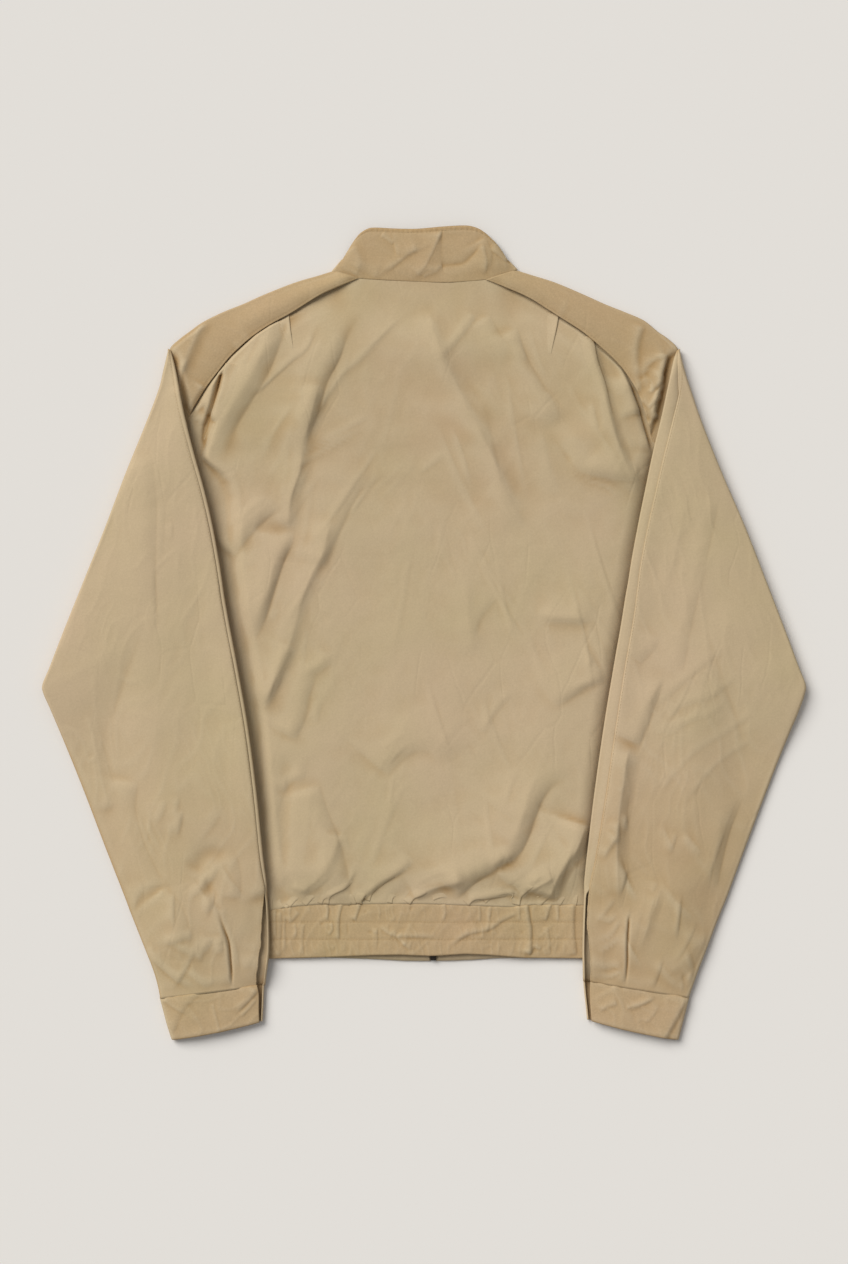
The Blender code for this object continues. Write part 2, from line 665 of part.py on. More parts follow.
def zip_pull():
    """A flat tab with a window, whose cross bar passes through the bridge."""
    half_w, half_t = PULL_WIDTH / 2, PULL_THICK / 2
    hinge = bpy.data.objects.new("pull_hinge", None)
    hinge_z = slider_levels()[0] - (BRIDGE_DROP - BRIDGE_BAR) / 2
    hinge.location = (ZIP_X * MM, SLIDER_Y * MM, hinge_z * MM)
    bpy.context.scene.collection.objects.link(hinge)

    pull = block("zip_pull", (-half_w, -PULL_LENGTH, -half_t), (half_w, -PULL_WINDOW, half_t))
    arms = [
        block(name, (first, -PULL_WINDOW - 0.5, -half_t), (first + PULL_ARM, half_t, half_t))
        for name, first in (("pull_left_arm", -half_w), ("pull_right_arm", half_w - PULL_ARM))
    ]
    bar_half = half_t - 0.05
    bar = block("pull_cross_bar", (-half_w + 0.2, -bar_half, -bar_half), (half_w - 0.2, bar_half, bar_half))
    for shape in [pull, *arms, bar]:
        shape.parent = hinge
    join_into(pull, [*arms, bar])
    return pull


def zip_box():
    """The stop that both sides of the zip end in at the hem."""
    mid = zip_level(BOX_END_Y)
    low = (ZIP_X - BOX_WIDTH / 2, BOX_END_Y, mid - BOX_HEIGHT / 2)
    high = (ZIP_X + BOX_WIDTH / 2, BOX_END_Y + BOX_LENGTH, mid + BOX_HEIGHT / 2)
    box = block("zip_box", low, high)
    edge = box.modifiers.new("rounded", "BEVEL")
    edge.width = 0.5 * MM
    edge.segments = 2
    return box


def main():
    for old in list(bpy.data.objects):
        bpy.data.objects.remove(old)
    back = back_sections()
    cloth("back_panel", back)
    for row in TUCKS:
        tuck(back, *row)
    collar()
    waistband_back()
    for side in (-1.0, 1.0):
        front_panel(side)
        waistband_front(side)
        sleeve_upper(side)
        sleeve_front(side)
        sleeve_back(side)
        cuff(side)
        zip_tape(side)
        zip_chain(side)
    zip_slider()
    zip_pull()
    zip_box()


main()
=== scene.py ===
# %% [markdown]
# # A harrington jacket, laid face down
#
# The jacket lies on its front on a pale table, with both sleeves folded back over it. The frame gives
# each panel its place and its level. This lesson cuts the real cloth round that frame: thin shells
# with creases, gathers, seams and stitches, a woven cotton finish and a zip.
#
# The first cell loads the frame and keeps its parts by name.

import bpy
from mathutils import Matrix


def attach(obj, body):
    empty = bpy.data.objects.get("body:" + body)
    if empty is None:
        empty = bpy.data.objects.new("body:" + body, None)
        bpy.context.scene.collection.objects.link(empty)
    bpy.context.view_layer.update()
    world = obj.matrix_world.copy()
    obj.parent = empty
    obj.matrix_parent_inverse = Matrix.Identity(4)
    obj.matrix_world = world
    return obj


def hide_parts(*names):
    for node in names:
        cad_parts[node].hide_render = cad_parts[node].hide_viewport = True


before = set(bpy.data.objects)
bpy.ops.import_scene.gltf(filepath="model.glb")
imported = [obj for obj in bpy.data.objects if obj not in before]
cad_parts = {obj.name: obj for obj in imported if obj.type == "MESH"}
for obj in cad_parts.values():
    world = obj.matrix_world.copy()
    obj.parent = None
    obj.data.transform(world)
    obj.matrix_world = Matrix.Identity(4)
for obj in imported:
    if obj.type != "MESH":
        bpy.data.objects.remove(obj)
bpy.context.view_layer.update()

# %% [markdown]
# Sizes below are in millimetres and become metres where a mesh is made. Most shapes are arrays of
# points, which numpy moves all at once. Three small functions do most of the arithmetic: a soft step,
# a straight mix, and a curve through the rows of a table.

# %% Numbers and curves
import math

import bpy
import numpy as np
from mathutils import Vector
from mathutils.bvhtree import BVHTree

MM = 0.001


def smooth(low, high, value):
    """0 at low and 1 at high, with level ends. Low may be the larger."""
    t = np.clip((value - low) / (high - low), 0.0, 1.0)
    return t * t * (3.0 - 2.0 * t)


def lerp(a, b, t):
    return a + (b - a) * t


def through(rows, at):
    """A smooth curve through a table's rows, read at row numbers such as 2.5."""
    rows = np.asarray(rows, float)
    last = len(rows) - 1
    at = np.clip(np.asarray(at, float), 0.0, last)
    i = np.minimum(at.astype(int), last - 1)
    t = (at - i)[:, None]
    a, b, c, d = (rows[np.clip(i + k, 0, last)] for k in (-1, 0, 1, 2))
    return 0.5 * (2 * b + (c - a) * t + (2 * a - 5 * b + 4 * c - d) * t**2 + (3 * b - a - 3 * c + d) * t**3)


def evenly(rows, spacing, columns=(0, 1)):
    """The table's rows again, this far apart on the path that two of its columns draw."""
    at = np.linspace(0, len(rows) - 1, 40 * (len(rows) - 1) + 1)
    fine = through(rows, at)
    steps = np.hypot(*np.diff(fine[:, list(columns)], axis=0).T)
    along = np.concatenate([[0.0], np.cumsum(steps)])
    count = max(2, int(round(along[-1] / spacing)) + 1)
    return through(rows, np.interp(np.linspace(0, along[-1], count), along, at))


# %% [markdown]
# The camera hangs straight above the middle of the table, because the jacket is shown in plan. A long
# lens far away keeps the outline nearly free of perspective.

# %% Camera
camera = bpy.data.objects.new("camera", bpy.data.cameras.new("camera"))
camera.data.lens = 75.7
camera.data.sensor_width = 36.0
camera.location = (0.0, 0.0023, 2.508)
bpy.context.scene.collection.objects.link(camera)
bpy.context.scene.camera = camera
print("camera", tuple(camera.location))

# %% [markdown]
# Colours are written as the hex values that a picture editor shows, and one function turns them into
# the linear values that Blender mixes. Another feeds a node's inputs, and one more adds a node to any
# tree with its options and inputs, so that a material reads as a list of what it is made of.

# %% Colours and nodes


def colour(code):
    """Linear colour with alpha, from an sRGB hex value."""
    srgb = [int(code[i : i + 2], 16) / 255 for i in (1, 3, 5)]
    return (*[c / 12.92 if c <= 0.04045 else ((c + 0.055) / 1.055) ** 2.4 for c in srgb], 1.0)


def feed(tree, node, **inputs):
    """Gives a node its inputs, each a value or another node's output. _ in a name stands for a space, and
    _ with a number is the input of that number."""
    for name, value in inputs.items():
        socket = node.inputs[int(name[1:]) if name[1:].isdigit() else name.replace("_", " ")]
        if isinstance(value, bpy.types.NodeSocket):
            tree.links.new(value, socket)
        else:
            socket.default_value = value


def add(tree, kind, options=None, **inputs):
    made = tree.nodes.new(kind)
    for name, value in (options or {}).items():
        setattr(made, name, value)
    feed(tree, made, **inputs)
    return made


def new_material(name):
    """An empty Principled material, as (material, tree, shader)."""
    made = bpy.data.materials.new(name)
    made.use_nodes = True
    return made, made.node_tree, made.node_tree.nodes["Principled BSDF"]


# %% [markdown]
# The table is a plain warm off-white. The light is one broad soft lamp from the upper left, low enough
# to draw the creases, and an even grey surround that fills the shadows. A sun lamp with a wide angle
# stands in for the softbox: it gives soft shadows and the same brightness all over the table.

# %% Table and light
TABLE_DROP = 0.15
LAMP_ELEVATION = 42.0
LAMP_TURN = 135.0  # anticlockwise from +X, seen from above
LAMP_WIDTH = 42.0  # the angle that the softbox fills

table_finish, table_tree, table_shader = new_material("matt off-white board")
feed(table_tree, table_shader, Base_Color=colour("#E7E4DF"), Roughness=0.9, Specular_IOR_Level=0.1)

bpy.ops.mesh.primitive_plane_add(size=40.0, location=(0.0, 0.0, -TABLE_DROP * MM))
table = bpy.context.object
table.name = "table"
table.data.materials.append(table_finish)

lamp = bpy.data.objects.new("softbox", bpy.data.lights.new("softbox", "SUN"))
lamp.data.energy = 2.95
lamp.data.angle = math.radians(LAMP_WIDTH)
lamp.data.color = (1.0, 0.985, 0.965)
turn, rise = math.radians(LAMP_TURN), math.radians(LAMP_ELEVATION)
towards = Vector((math.cos(turn) * math.cos(rise), math.sin(turn) * math.cos(rise), math.sin(rise)))
lamp.rotation_euler = towards.to_track_quat("Z", "Y").to_euler()
bpy.context.scene.collection.objects.link(lamp)

surround = bpy.data.worlds.new("studio")
surround.use_nodes = True
grey = surround.node_tree.nodes["Background"]
feed(surround.node_tree, grey, Color=(0.99, 0.99, 1.0, 1.0), Strength=0.325)
bpy.context.scene.world = surround
bpy.context.scene.view_settings.view_transform = "Standard"
print("light comes from", [round(c, 2) for c in towards])

# %% [markdown]
# The shell is plain-woven cotton, tightly spun and matt, as on a rain-proof blouson. What the eye sees
# is an even tan that shifts a little towards olive and pink in large clouds, a dry soft sheen on the
# slopes, a fine weave up close, and faint pressed creases. The weave follows the cloth by its UV map,
# whose unit is one millimetre. Real threads are 0.3 mm apart; here they are 0.7 mm, so that they show.
# Four helpers keep the recipe short: noise, a product of two values, a colour ramp, and a stack of
# bumps.

# %% Parts of a finish
THREAD_MM = 0.7


def noise(tree, place, scale, detail, options=None, **more):
    return add(tree, "ShaderNodeTexNoise", options, Vector=place, Scale=scale, Detail=detail, **more)


def product(tree, a, b, kind="ShaderNodeMath"):
    return add(tree, kind, {"operation": "MULTIPLY"}, _0=a, _1=b).outputs[0]


def between(tree, value, **limits):
    """The value moved from one range to another."""
    return add(tree, "ShaderNodeMapRange", Value=value, **limits).outputs[0]


def soft_step(tree, value, **limits):
    """0 to 1 with level ends while the value crosses a range."""
    smoothed = {"interpolation_type": "SMOOTHSTEP"}
    return add(tree, "ShaderNodeMapRange", smoothed, Value=value, **limits).outputs[0]


def ramp(tree, value, *stops):
    """Colour from a value, through stops of a position and a hex colour."""
    made = add(tree, "ShaderNodeValToRGB", Fac=value)
    for _ in stops[2:]:
        made.color_ramp.elements.new(0.5)
    for element, (position, code) in zip(made.color_ramp.elements, stops):
        element.position = position
        element.color = colour(code)
    return made.outputs["Color"]


def bumps(tree, shader, *layers):
    """Bumps of a height, its depth in millimetres and its strength, each on top of the one before."""
    below = {}
    for height, depth, strength in layers:
        relief = add(tree, "ShaderNodeBump", Height=height, Distance=depth * MM, Strength=strength, **below)
        below = {"Normal": relief.outputs[0]}
    feed(tree, shader, **below)


def ripple(tree, uv, direction):
    """Bands across the cloth, one for each thread."""
    bands = {"wave_type": "BANDS", "bands_direction": direction, "wave_profile": "SIN"}
    return add(tree, "ShaderNodeTexWave", bands, Vector=uv, Scale=math.tau / 20 / THREAD_MM, Distortion=0.6,
               Detail=1.0, Detail_Scale=0.7).outputs["Fac"]


print("threads every", THREAD_MM, "mm")

# %% [markdown]
# The cotton's colour is its clouds, grain and weave, darkened by painted shade in hollows and along some
# outer edges, and by a set darkening of some pieces, which the mesh carries as one attribute. Its relief
# is four bumps: fine pressed lines, the weave, slubs and soft creases.
# The waistband's back, the cuffs and the collar are doubled and stitched, which makes their surface
# rougher, and the stitched saddles share that finish.

# %% Cotton
TANS = ("#C7B28F", "#C4B18B", "#CAB392")
# Painted shade: the colours that the cloth is darkened towards in hollows and on outer edges. A set darkening
# of a piece moves along the same colours.
SHADE_RAMP = ((0.0, "#8A7050"), (0.28, "#DDCAAD"), (0.5, "#F8F8F8"), (1.0, "#FFFFFF"))


def cotton_colour(tree, place, weave, base, cloud_a, cloud_b, grain_share):
    clouds = noise(tree, place, 7.0, 3.0, Roughness=0.55)
    specks = noise(tree, place, 650.0, 2.0)
    tint = ramp(tree, clouds.outputs["Fac"], (0.3, cloud_a), (0.5, base), (0.7, cloud_b))
    grain = between(tree, specks.outputs["Fac"], To_Min=1 - grain_share, To_Max=1 + grain_share)
    thread = between(tree, weave, To_Min=0.95, To_Max=1.05)
    shade = add(tree, "ShaderNodeVectorMath", {"operation": "SCALE"}, _0=tint,
                Scale=product(tree, grain, thread))
    # Painted shade in hollows and on outer edges, with each piece's set darkening, read from the mesh.
    painted_shade_and_tone = add(tree, "ShaderNodeAttribute", {"attribute_name": "painted_shade_and_tone"}).outputs["Fac"]
    return product(tree, shade.outputs[0], ramp(tree, painted_shade_and_tone, *SHADE_RAMP), "ShaderNodeVectorMath")


def pressed_lines(tree, place):
    """Thin bent lines, in patches: the edges of stretched cells."""
    bend = noise(tree, place, 14.0, 2.0)
    bent = add(tree, "ShaderNodeVectorMath", {"operation": "MULTIPLY_ADD"}, _0=bend.outputs["Color"],
               _1=(0.016, 0.016, 0.0), _2=place)
    drawn = product(tree, bent.outputs[0], (1.0, 0.45, 0.0), "ShaderNodeVectorMath")
    cells = add(tree, "ShaderNodeTexVoronoi", {"feature": "DISTANCE_TO_EDGE", "voronoi_dimensions": "2D"},
                Vector=drawn, Scale=30.0)
    patches = noise(tree, place, 11.0, 1.0)
    return product(tree, soft_step(tree, cells.outputs["Distance"], From_Max=0.055),
                   soft_step(tree, patches.outputs["Fac"], From_Min=0.48, From_Max=0.66))


def cotton(name, *colours, grain_share=0.1, slub_mm=0.35):
    made, tree, shader = new_material(name)
    place = add(tree, "ShaderNodeTexCoord").outputs["Object"]
    uv = add(tree, "ShaderNodeUVMap", {"uv_map": "cloth"}).outputs["UV"]
    weave = product(tree, ripple(tree, uv, "X"), ripple(tree, uv, "Y"))
    feed(tree, shader, Base_Color=cotton_colour(tree, place, weave, *colours, grain_share))
    slub = noise(tree, place, 95.0, 4.0, Roughness=0.6)
    soft = noise(tree, place, 30.0, 3.0, {"noise_type": "RIDGED_MULTIFRACTAL"}, Roughness=0.5, Distortion=0.5)
    bumps(tree, shader, (pressed_lines(tree, place), 0.22, 0.6), (weave, 0.08, 0.6),
          (slub.outputs["Fac"], slub_mm, 0.5), (soft.outputs["Fac"], 1.0, 0.5))
    feed(tree, shader, Roughness=0.88, Specular_IOR_Level=0.25, Sheen_Weight=0.12, Sheen_Roughness=0.5,
         Sheen_Tint=colour("#E8D9BC"))
    return made


shell_finish = cotton("woven cotton, tan", *TANS)
doubled_finish = cotton("woven cotton, tan, doubled and stitched", *TANS, grain_share=0.15, slub_mm=0.6)
print("materials so far:", [m.name for m in bpy.data.materials if m.users])

# %% [markdown]
# Sewing thread is spun polyester, a shade darker than the cloth, and its twist makes it lighter and
# darker from stitch to stitch. The zip has a dark brown woven tape, and teeth and a slider of zinc with
# a dark coat, which handling has left glossier and paler in small patches.

# %% Thread, tape and metal


def speckled(tree, shader, scale, dark, light):
    """Tints a shader between two colours by noise, and returns the noise."""
    specks = noise(tree, add(tree, "ShaderNodeTexCoord").outputs["Object"], scale, 3.0).outputs["Fac"]
    feed(tree, shader, Base_Color=ramp(tree, specks, (0.35, dark), (0.65, light)))
    return specks


thread_finish, thread_tree, thread_shader = new_material("spun polyester thread, tan")
twist = speckled(thread_tree, thread_shader, 700.0, "#A78F69", "#BFA780")
bumps(thread_tree, thread_shader, (twist, 0.1, 0.5))
feed(thread_tree, thread_shader, Roughness=0.7)

tape_finish = cotton("woven polyester tape, dark brown", "#3A2C22", "#35281F", "#403126")

metal_finish, metal_tree, metal_shader = new_material("coated zinc, dark")
handled = speckled(metal_tree, metal_shader, 900.0, "#38322D", "#4B443D")
feed(metal_tree, metal_shader, Roughness=between(metal_tree, handled, To_Min=0.5, To_Max=0.28), Metallic=1.0)
print("finishes:", [m.name for m in (thread_finish, tape_finish, metal_finish)])

# %% [markdown]
# Every crease is one row of a table: the line that its shadow draws, how wide its lit side and its
# shaded side are, its height, how sharp it is, and over what share of its length it fades in and out.
# A gentle lit side with a steep shaded side is what a fold of pressed cotton has. A trough has a
# negative height, its line is its bottom, and one that is less sharp than 2 is shaped like a V.

# %% Creases
TOWARDS_LIGHT = np.array((-1.0, 1.0)) / math.sqrt(2)


def crease(x, y, line, lit, shade, height, sharp=2.0, fade_in=0.3, fade_out=0.3):
    """Height that one crease adds at points (x, y)."""
    line = np.asarray(line, float)
    pts = through(line, np.linspace(0, len(line) - 1, 5 * (len(line) - 1) + 1))
    reach = 2.6 * max(lit, shade) + 2.0
    near = (
        (x > pts[:, 0].min() - reach) & (x < pts[:, 0].max() + reach)
        & (y > pts[:, 1].min() - reach) & (y < pts[:, 1].max() + reach)
    )
    added = np.zeros_like(x)
    if not near.any():
        return added
    px, py = x[near], y[near]
    best = np.full(px.shape, 1e9)
    side = np.zeros_like(px)
    along = np.zeros_like(px)
    steps = np.hypot(*np.diff(pts, axis=0).T)
    start = np.concatenate([[0.0], np.cumsum(steps)])
    run_x, run_y = pts[-1] - pts[0]
    lit_way = 1.0 if run_x * TOWARDS_LIGHT[1] - run_y * TOWARDS_LIGHT[0] > 0 else -1.0
    for (ax, ay), (bx, by), length, so_far in zip(pts, pts[1:], steps, start):
        ux, uy = (bx - ax) / length, (by - ay) / length
        t = np.clip((px - ax) * ux + (py - ay) * uy, 0.0, length)
        dx, dy = px - ax - ux * t, py - ay - uy * t
        away = np.hypot(dx, dy)
        closer = away < best
        best = np.where(closer, away, best)
        side = np.where(closer, np.where((-uy * dx + ux * dy) * lit_way >= 0, away, -away), side)
        along = np.where(closer, (so_far + t) / start[-1], along)
    if height < 0:
        profile = np.exp(-((np.abs(side) / lit) ** sharp))
    else:
        side = side - (0.75 if sharp >= 1.0 else 0.25) * shade
        fall = np.clip(-side / shade, 0.0, 1.0)
        fallen = 1.0 - fall**sharp if sharp >= 1.0 else (1.0 - fall) ** (1.0 / sharp)
        profile = np.where(side > 0, np.exp(-(np.abs(side) / lit) ** 1.6), fallen)
    ends = smooth(0.0, fade_in, along) if fade_in else 1.0
    ends = ends * (smooth(1.0, 1.0 - fade_out, along) if fade_out else 1.0)
    added[near] = height * profile * ends
    return added


def creased(x, y, table):
    return sum((crease(x, y, *row) for row in table), np.zeros_like(x))


def drawn_row(random, line, lit, shade, height, fade_in=0.35):
    """A row of a crease table whose widths and height are drawn at random, each from its own range."""
    return (line, random.uniform(*lit), random.uniform(*shade), random.uniform(*height), 2.0, fade_in, 0.4)


def falling(x, y, length, middle, end):
    """A line that falls by this length and shifts sideways by these steps at its middle and its end."""
    return ((x, y), (x + middle, y - 0.5 * length), (x + end, y - length))


def with_companions(table, seed):
    """The table, with thinner creases that run beside each of its broad ones."""
    random = np.random.default_rng(seed)
    made = list(table)
    for line, lit, _, height, *_ in table:
        if height < 1.0 or lit < 9:
            continue
        line = np.array(line, float)
        across = (line[-1] - line[0])[::-1] * (1, -1) / np.hypot(*(line[-1] - line[0]))
        ends = np.linspace(-1, 1, len(line))
        for _ in range(3):
            shift = random.uniform(-0.9, 0.9) * lit + random.uniform(-0.35, 0.35) * lit * ends
            part = np.linspace(*sorted(random.uniform(0, len(line) - 1, 2)), 4)
            moved = through(line + across * shift[:, None], part)
            made.append(drawn_row(random, moved, (3.5, 8.0), (2.0, 4.5), (0.15, 0.5), fade_in=0.3))
    return tuple(made)


# %% [markdown]
# Between the creases that have a place of their own, worn cotton is never quite level. Smooth noise
# gives broad swells, and its folded form gives thin soft ridges. Both come from a seeded grid of random
# slopes, so each run gives the same cloth.

# %% Swells


def swell(x, y, size, seed):
    """Smooth noise between about -1 and 1, whose lumps are this many millimetres across."""
    random = np.random.default_rng(seed)
    angles = random.uniform(0, math.tau, (64, 64))
    u, v = x / size + 31.7, y / size + 17.3
    i, j = np.floor(u).astype(int), np.floor(v).astype(int)
    f, g = u - i, v - j

    def corner(di, dj):
        a = angles[(i + di) % 64, (j + dj) % 64]
        return np.cos(a) * (f - di) + np.sin(a) * (g - dj)

    s, t = f * f * (3 - 2 * f), g * g * (3 - 2 * g)
    return 1.6 * lerp(lerp(corner(0, 0), corner(1, 0), s), lerp(corner(0, 1), corner(1, 1), s), t)


def ridges(x, y, size, seed, slant=0.0, stretch=1.0):
    """Thin soft ridges of height 0 to 1 that run at this angle to +Y, longer than they are wide."""
    a = math.radians(slant)
    across, along = x * math.cos(a) + y * math.sin(a), -x * math.sin(a) + y * math.cos(a)
    across = across + 0.35 * size * swell(x, y, size * 1.7, seed + 1)
    return np.clip(1.0 - 2.2 * np.abs(swell(across, along / stretch, size, seed)), 0.0, 1.0) ** 2


# %% [markdown]
# A panel is a grid of points at the middle of the cloth. One function turns it into a mesh with a UV
# map in millimetres, measured along the cloth, and gives it its thickness with Solidify. Another lays a
# line on a finished panel, for seams and stitches.

# %% Cloth from a grid
CLOTH = 0.9  # thickness of one layer
BAND = 1.7  # and of a doubled one
HOLLOW_DEPTH = 7.0  # a hollow this deep moves the painted shade from one end of its range to the other
PANELS = {}  # the grid and the thickness of each panel, by name


def blur(values, times):
    """Softens a grid by averaging neighbours."""
    for _ in range(times):
        wide = np.pad(values, 1, mode="edge")
        values = (wide[:-2, 1:-1] + wide[2:, 1:-1] + wide[1:-1, :-2] + wide[1:-1, 2:] + 2 * values) / 6.0
    return values


def grid_quads(rows, columns):
    index = np.arange(rows * columns).reshape(rows, columns)
    return np.stack([index[:-1, :-1], index[:-1, 1:], index[1:, 1:], index[1:, :-1]], axis=-1).reshape(-1, 4)


def unrolled(points):
    """Where each point of a grid lies when the cloth is flat: across from its middle column, and down."""
    rows, columns = points.shape[:2]
    across = np.linalg.norm(np.diff(points, axis=1), axis=2).cumsum(axis=1)
    across = np.concatenate([np.zeros((rows, 1)), across], axis=1)
    across -= across[:, columns // 2][:, None]
    down = np.linalg.norm(np.diff(points[:, columns // 2], axis=0), axis=1).cumsum()
    down = np.repeat(np.concatenate([[0.0], down])[:, None], columns, axis=1)
    return np.stack([across, down], axis=-1).reshape(-1, 2)


def shade_and_tone(points, darkening, rim, rim_shade):
    """Painted shade and tone from 0, the darkest, to 1: painted shade lowers it in hollows and on the rim,
    and the set darkening lowers it all over.
    """
    # Painted shade where the cloth lies lower than the cloth around it.
    hollow = points[..., 2] - blur(points[..., 2], 14)
    # Painted shade on the last columns, an outer edge.
    edge = np.zeros(points.shape[:2])
    if rim:
        edge[:, -rim:] = smooth(0.0, 0.35, np.linspace(0.0, 1.0, rim))
    return np.clip(0.5 + hollow / HOLLOW_DEPTH - darkening - rim_shade * edge, 0.0, 1.0).ravel()


def cloth(name, *grids, thickness=CLOTH, finish=None, darkening=0.0, rim=0, rim_shade=0.2):
    """A thin shell round one or more grids of points, rows by columns, in millimetres. The cloth can be made
    darker all over by a set amount, and rim is how many of the last columns are an edge with painted shade."""
    corners, quads, flats, shade_tones = [], [], [], []
    for points in grids:
        quads.append(grid_quads(*points.shape[:2]) + sum(len(c) for c in corners))
        corners.append(points.reshape(-1, 3))
        flats.append(unrolled(points))
        shade_tones.append(shade_and_tone(points, darkening, rim, rim_shade))
    quads = np.concatenate(quads)
    mesh = bpy.data.meshes.new(name + "_cloth")
    mesh.from_pydata((np.concatenate(corners) * MM).tolist(), [], quads.tolist())
    # The painted shade and the set darkening ride on the mesh as one attribute.
    mesh.attributes.new("painted_shade_and_tone", "FLOAT", "POINT").data.foreach_set("value", np.concatenate(shade_tones))
    layer = mesh.uv_layers.new(name="cloth")
    layer.data.foreach_set("uv", np.concatenate(flats)[quads.reshape(-1)].ravel())
    mesh.materials.append(finish or shell_finish)
    mesh.shade_smooth()
    made = bpy.data.objects.new(name + "_cloth", mesh)
    bpy.context.scene.collection.objects.link(made)
    wall = made.modifiers.new("cloth", "SOLIDIFY")
    wall.thickness = thickness * MM
    wall.offset = 0.0
    PANELS[name] = (grids[0], thickness)
    return made


def on_top(name, line):
    """Points of a line (x, y) laid on the upper face of a panel."""
    points, thickness = PANELS[name]
    tree = BVHTree.FromPolygons(points.reshape(-1, 3).tolist(), grid_quads(*points.shape[:2]).tolist())
    laid = []
    for x, y in line:
        hit, normal, _, _ = tree.ray_cast(Vector((x, y, 60.0)), Vector((0.0, 0.0, -1.0)))
        if hit is not None:
            normal = normal if normal.z > 0 else -normal
            laid.append(tuple(hit + normal * (thickness / 2)))
    return laid


# %% [markdown]
# The frame's own levels come next: where the edges of the body are, how high the back lies over the
# fronts, and how high a sleeve lies on what is under it. They are the same named sizes as the frame's.

# %% Levels
WAIST_Y = -254.0
WAIST_HALF, HEM_HALF = 224.0, 219.0  # half the width at the waist seam and at the hem
ARMPIT_X, ARMPIT_Y = 262.0, 7.0
NECK_Y = 333.0
ZIP_X = 8.7
ZIP_GAP, ZIP_GAP_AT_HEM = 5.2, 2.6  # from the zip's line to each front edge
ZIP_LIFT = 1.7  # how far the closed zip holds the front edges up near the neck
SIDE_SEAM = np.array([
    # y, x
    (WAIST_Y, WAIST_HALF), (-190.0, 232.5), (-110.0, 244.5), (-30.0, 256.5), (ARMPIT_Y, ARMPIT_X),
])
BACK_LOW, BACK_HIGH = 1.9, 4.6  # underside of the back at its sides and in the middle
SLIDER_AT, SLIDER_ROOM = (ZIP_X, 298.0), 2.6  # the slider, and how far it lifts the back
SADDLE_LAP = 5.0  # how far the back runs under the saddle
SLEEVE_OVER_BODY = 3.6  # a sleeve's underside above the underside of what it lies on
LOW_MID = 0.6  # middle of a layer that lies on the table


def side_x(y):
    return np.interp(y, *SIDE_SEAM.T)


def waistband_low(x):
    return 2.6 + 2.7 * smooth(120.0, 14.0, np.abs(x - ZIP_X))


def back_seat(x, y):
    """Underside of the back panel before its folds."""
    to_slider = np.hypot(x - SLIDER_AT[0], y - SLIDER_AT[1])
    low = lerp(BACK_LOW, BACK_HIGH, smooth(222.0, 150.0, np.abs(x)))
    low = low + SLIDER_ROOM * smooth(75.0, 20.0, to_slider)
    return lerp(low, waistband_low(x) + 0.4, smooth(-215.0, WAIST_Y, y))


# %% [markdown]
# Each side has its own outline, because cloth never lies the same way twice. A row of a sleeve's table
# is one section from its outer edge to its inner edge, and how far in its seam lies. A row of a
# saddle's table goes from its seam on the back to the shoulder's outline.

# %% Outlines
SLEEVES = {
    -1.0: np.array([
        # outer_x, outer_y, inner_x, inner_y, seam_in
        (240.3, 268.5, 238.8, 267.5, 0.7), (242.0, 261.0, 236.8, 261.0, 1.5),
        (245.5, 246.0, 233.0, 246.0, 2.2), (249.5, 230.0, 230.0, 231.0, 2.6),
        (262.0, 197.0, 224.5, 204.0, 3.0), (281.0, 150.0, 216.0, 170.0, 3.0),
        (300.0, 100.0, 206.5, 136.0, 3.0), (320.0, 50.0, 199.0, 104.0, 3.0), (340.0, 0.0, 193.0, 72.0, 3.0),
        (352.0, -31.0, 189.5, 50.0, 3.0), (358.6, -47.0, 188.0, 39.0, 3.0), (358.0, -55.0, 186.5, 30.0, 3.0),
        (351.5, -70.0, 182.5, 8.0, 3.0), (337.0, -105.0, 176.0, -26.0, 3.0),
        (319.0, -150.0, 165.5, -85.0, 3.0), (300.0, -200.0, 157.0, -150.0, 3.0),
        (282.0, -246.0, 151.5, -206.0, 3.0), (276.0, -262.0, 149.0, -226.0, 2.5),
        (272.0, -272.0, 147.5, -240.0, 2.0), (262.0, -297.0, 145.6, -268.0, 5.8),
        (255.0, -315.0, 145.2, -297.0, 8.6), (250.5, -330.0, 147.8, -319.0, 8.8),
        (248.0, -343.0, 149.3, -330.0, 8.0),
    ]),
    1.0: np.array([
        (240.2, 268.3, 238.6, 267.3, 0.8), (242.0, 260.0, 235.6, 260.0, 3.5),
        (246.0, 245.0, 232.0, 245.0, 9.0), (251.5, 228.0, 228.6, 229.0, 11.0),
        (262.5, 196.0, 223.0, 203.0, 10.5), (280.0, 152.0, 215.3, 171.0, 10.2),
        (301.5, 102.0, 208.0, 136.0, 9.5), (321.0, 52.0, 201.5, 104.0, 9.0), (341.0, 0.0, 195.5, 72.0, 9.0),
        (352.5, -31.0, 192.0, 50.0, 9.5), (358.8, -47.0, 190.0, 39.0, 10.0),
        (358.2, -55.0, 188.5, 30.0, 10.5), (352.5, -72.0, 185.0, 8.0, 10.5),
        (338.5, -106.0, 179.0, -26.0, 10.5), (321.0, -151.0, 169.2, -85.0, 11.0),
        (302.5, -200.0, 160.0, -150.0, 10.5), (285.5, -246.0, 153.5, -206.0, 8.0),
        (279.0, -262.0, 151.4, -226.0, 6.0), (275.0, -272.0, 150.5, -240.0, 4.5),
        (265.5, -297.0, 149.2, -268.0, 3.5), (258.5, -315.0, 148.6, -295.0, 6.5),
        (253.5, -329.0, 149.0, -314.0, 7.0), (249.0, -342.0, 149.5, -326.0, 7.0),
    ]),
}
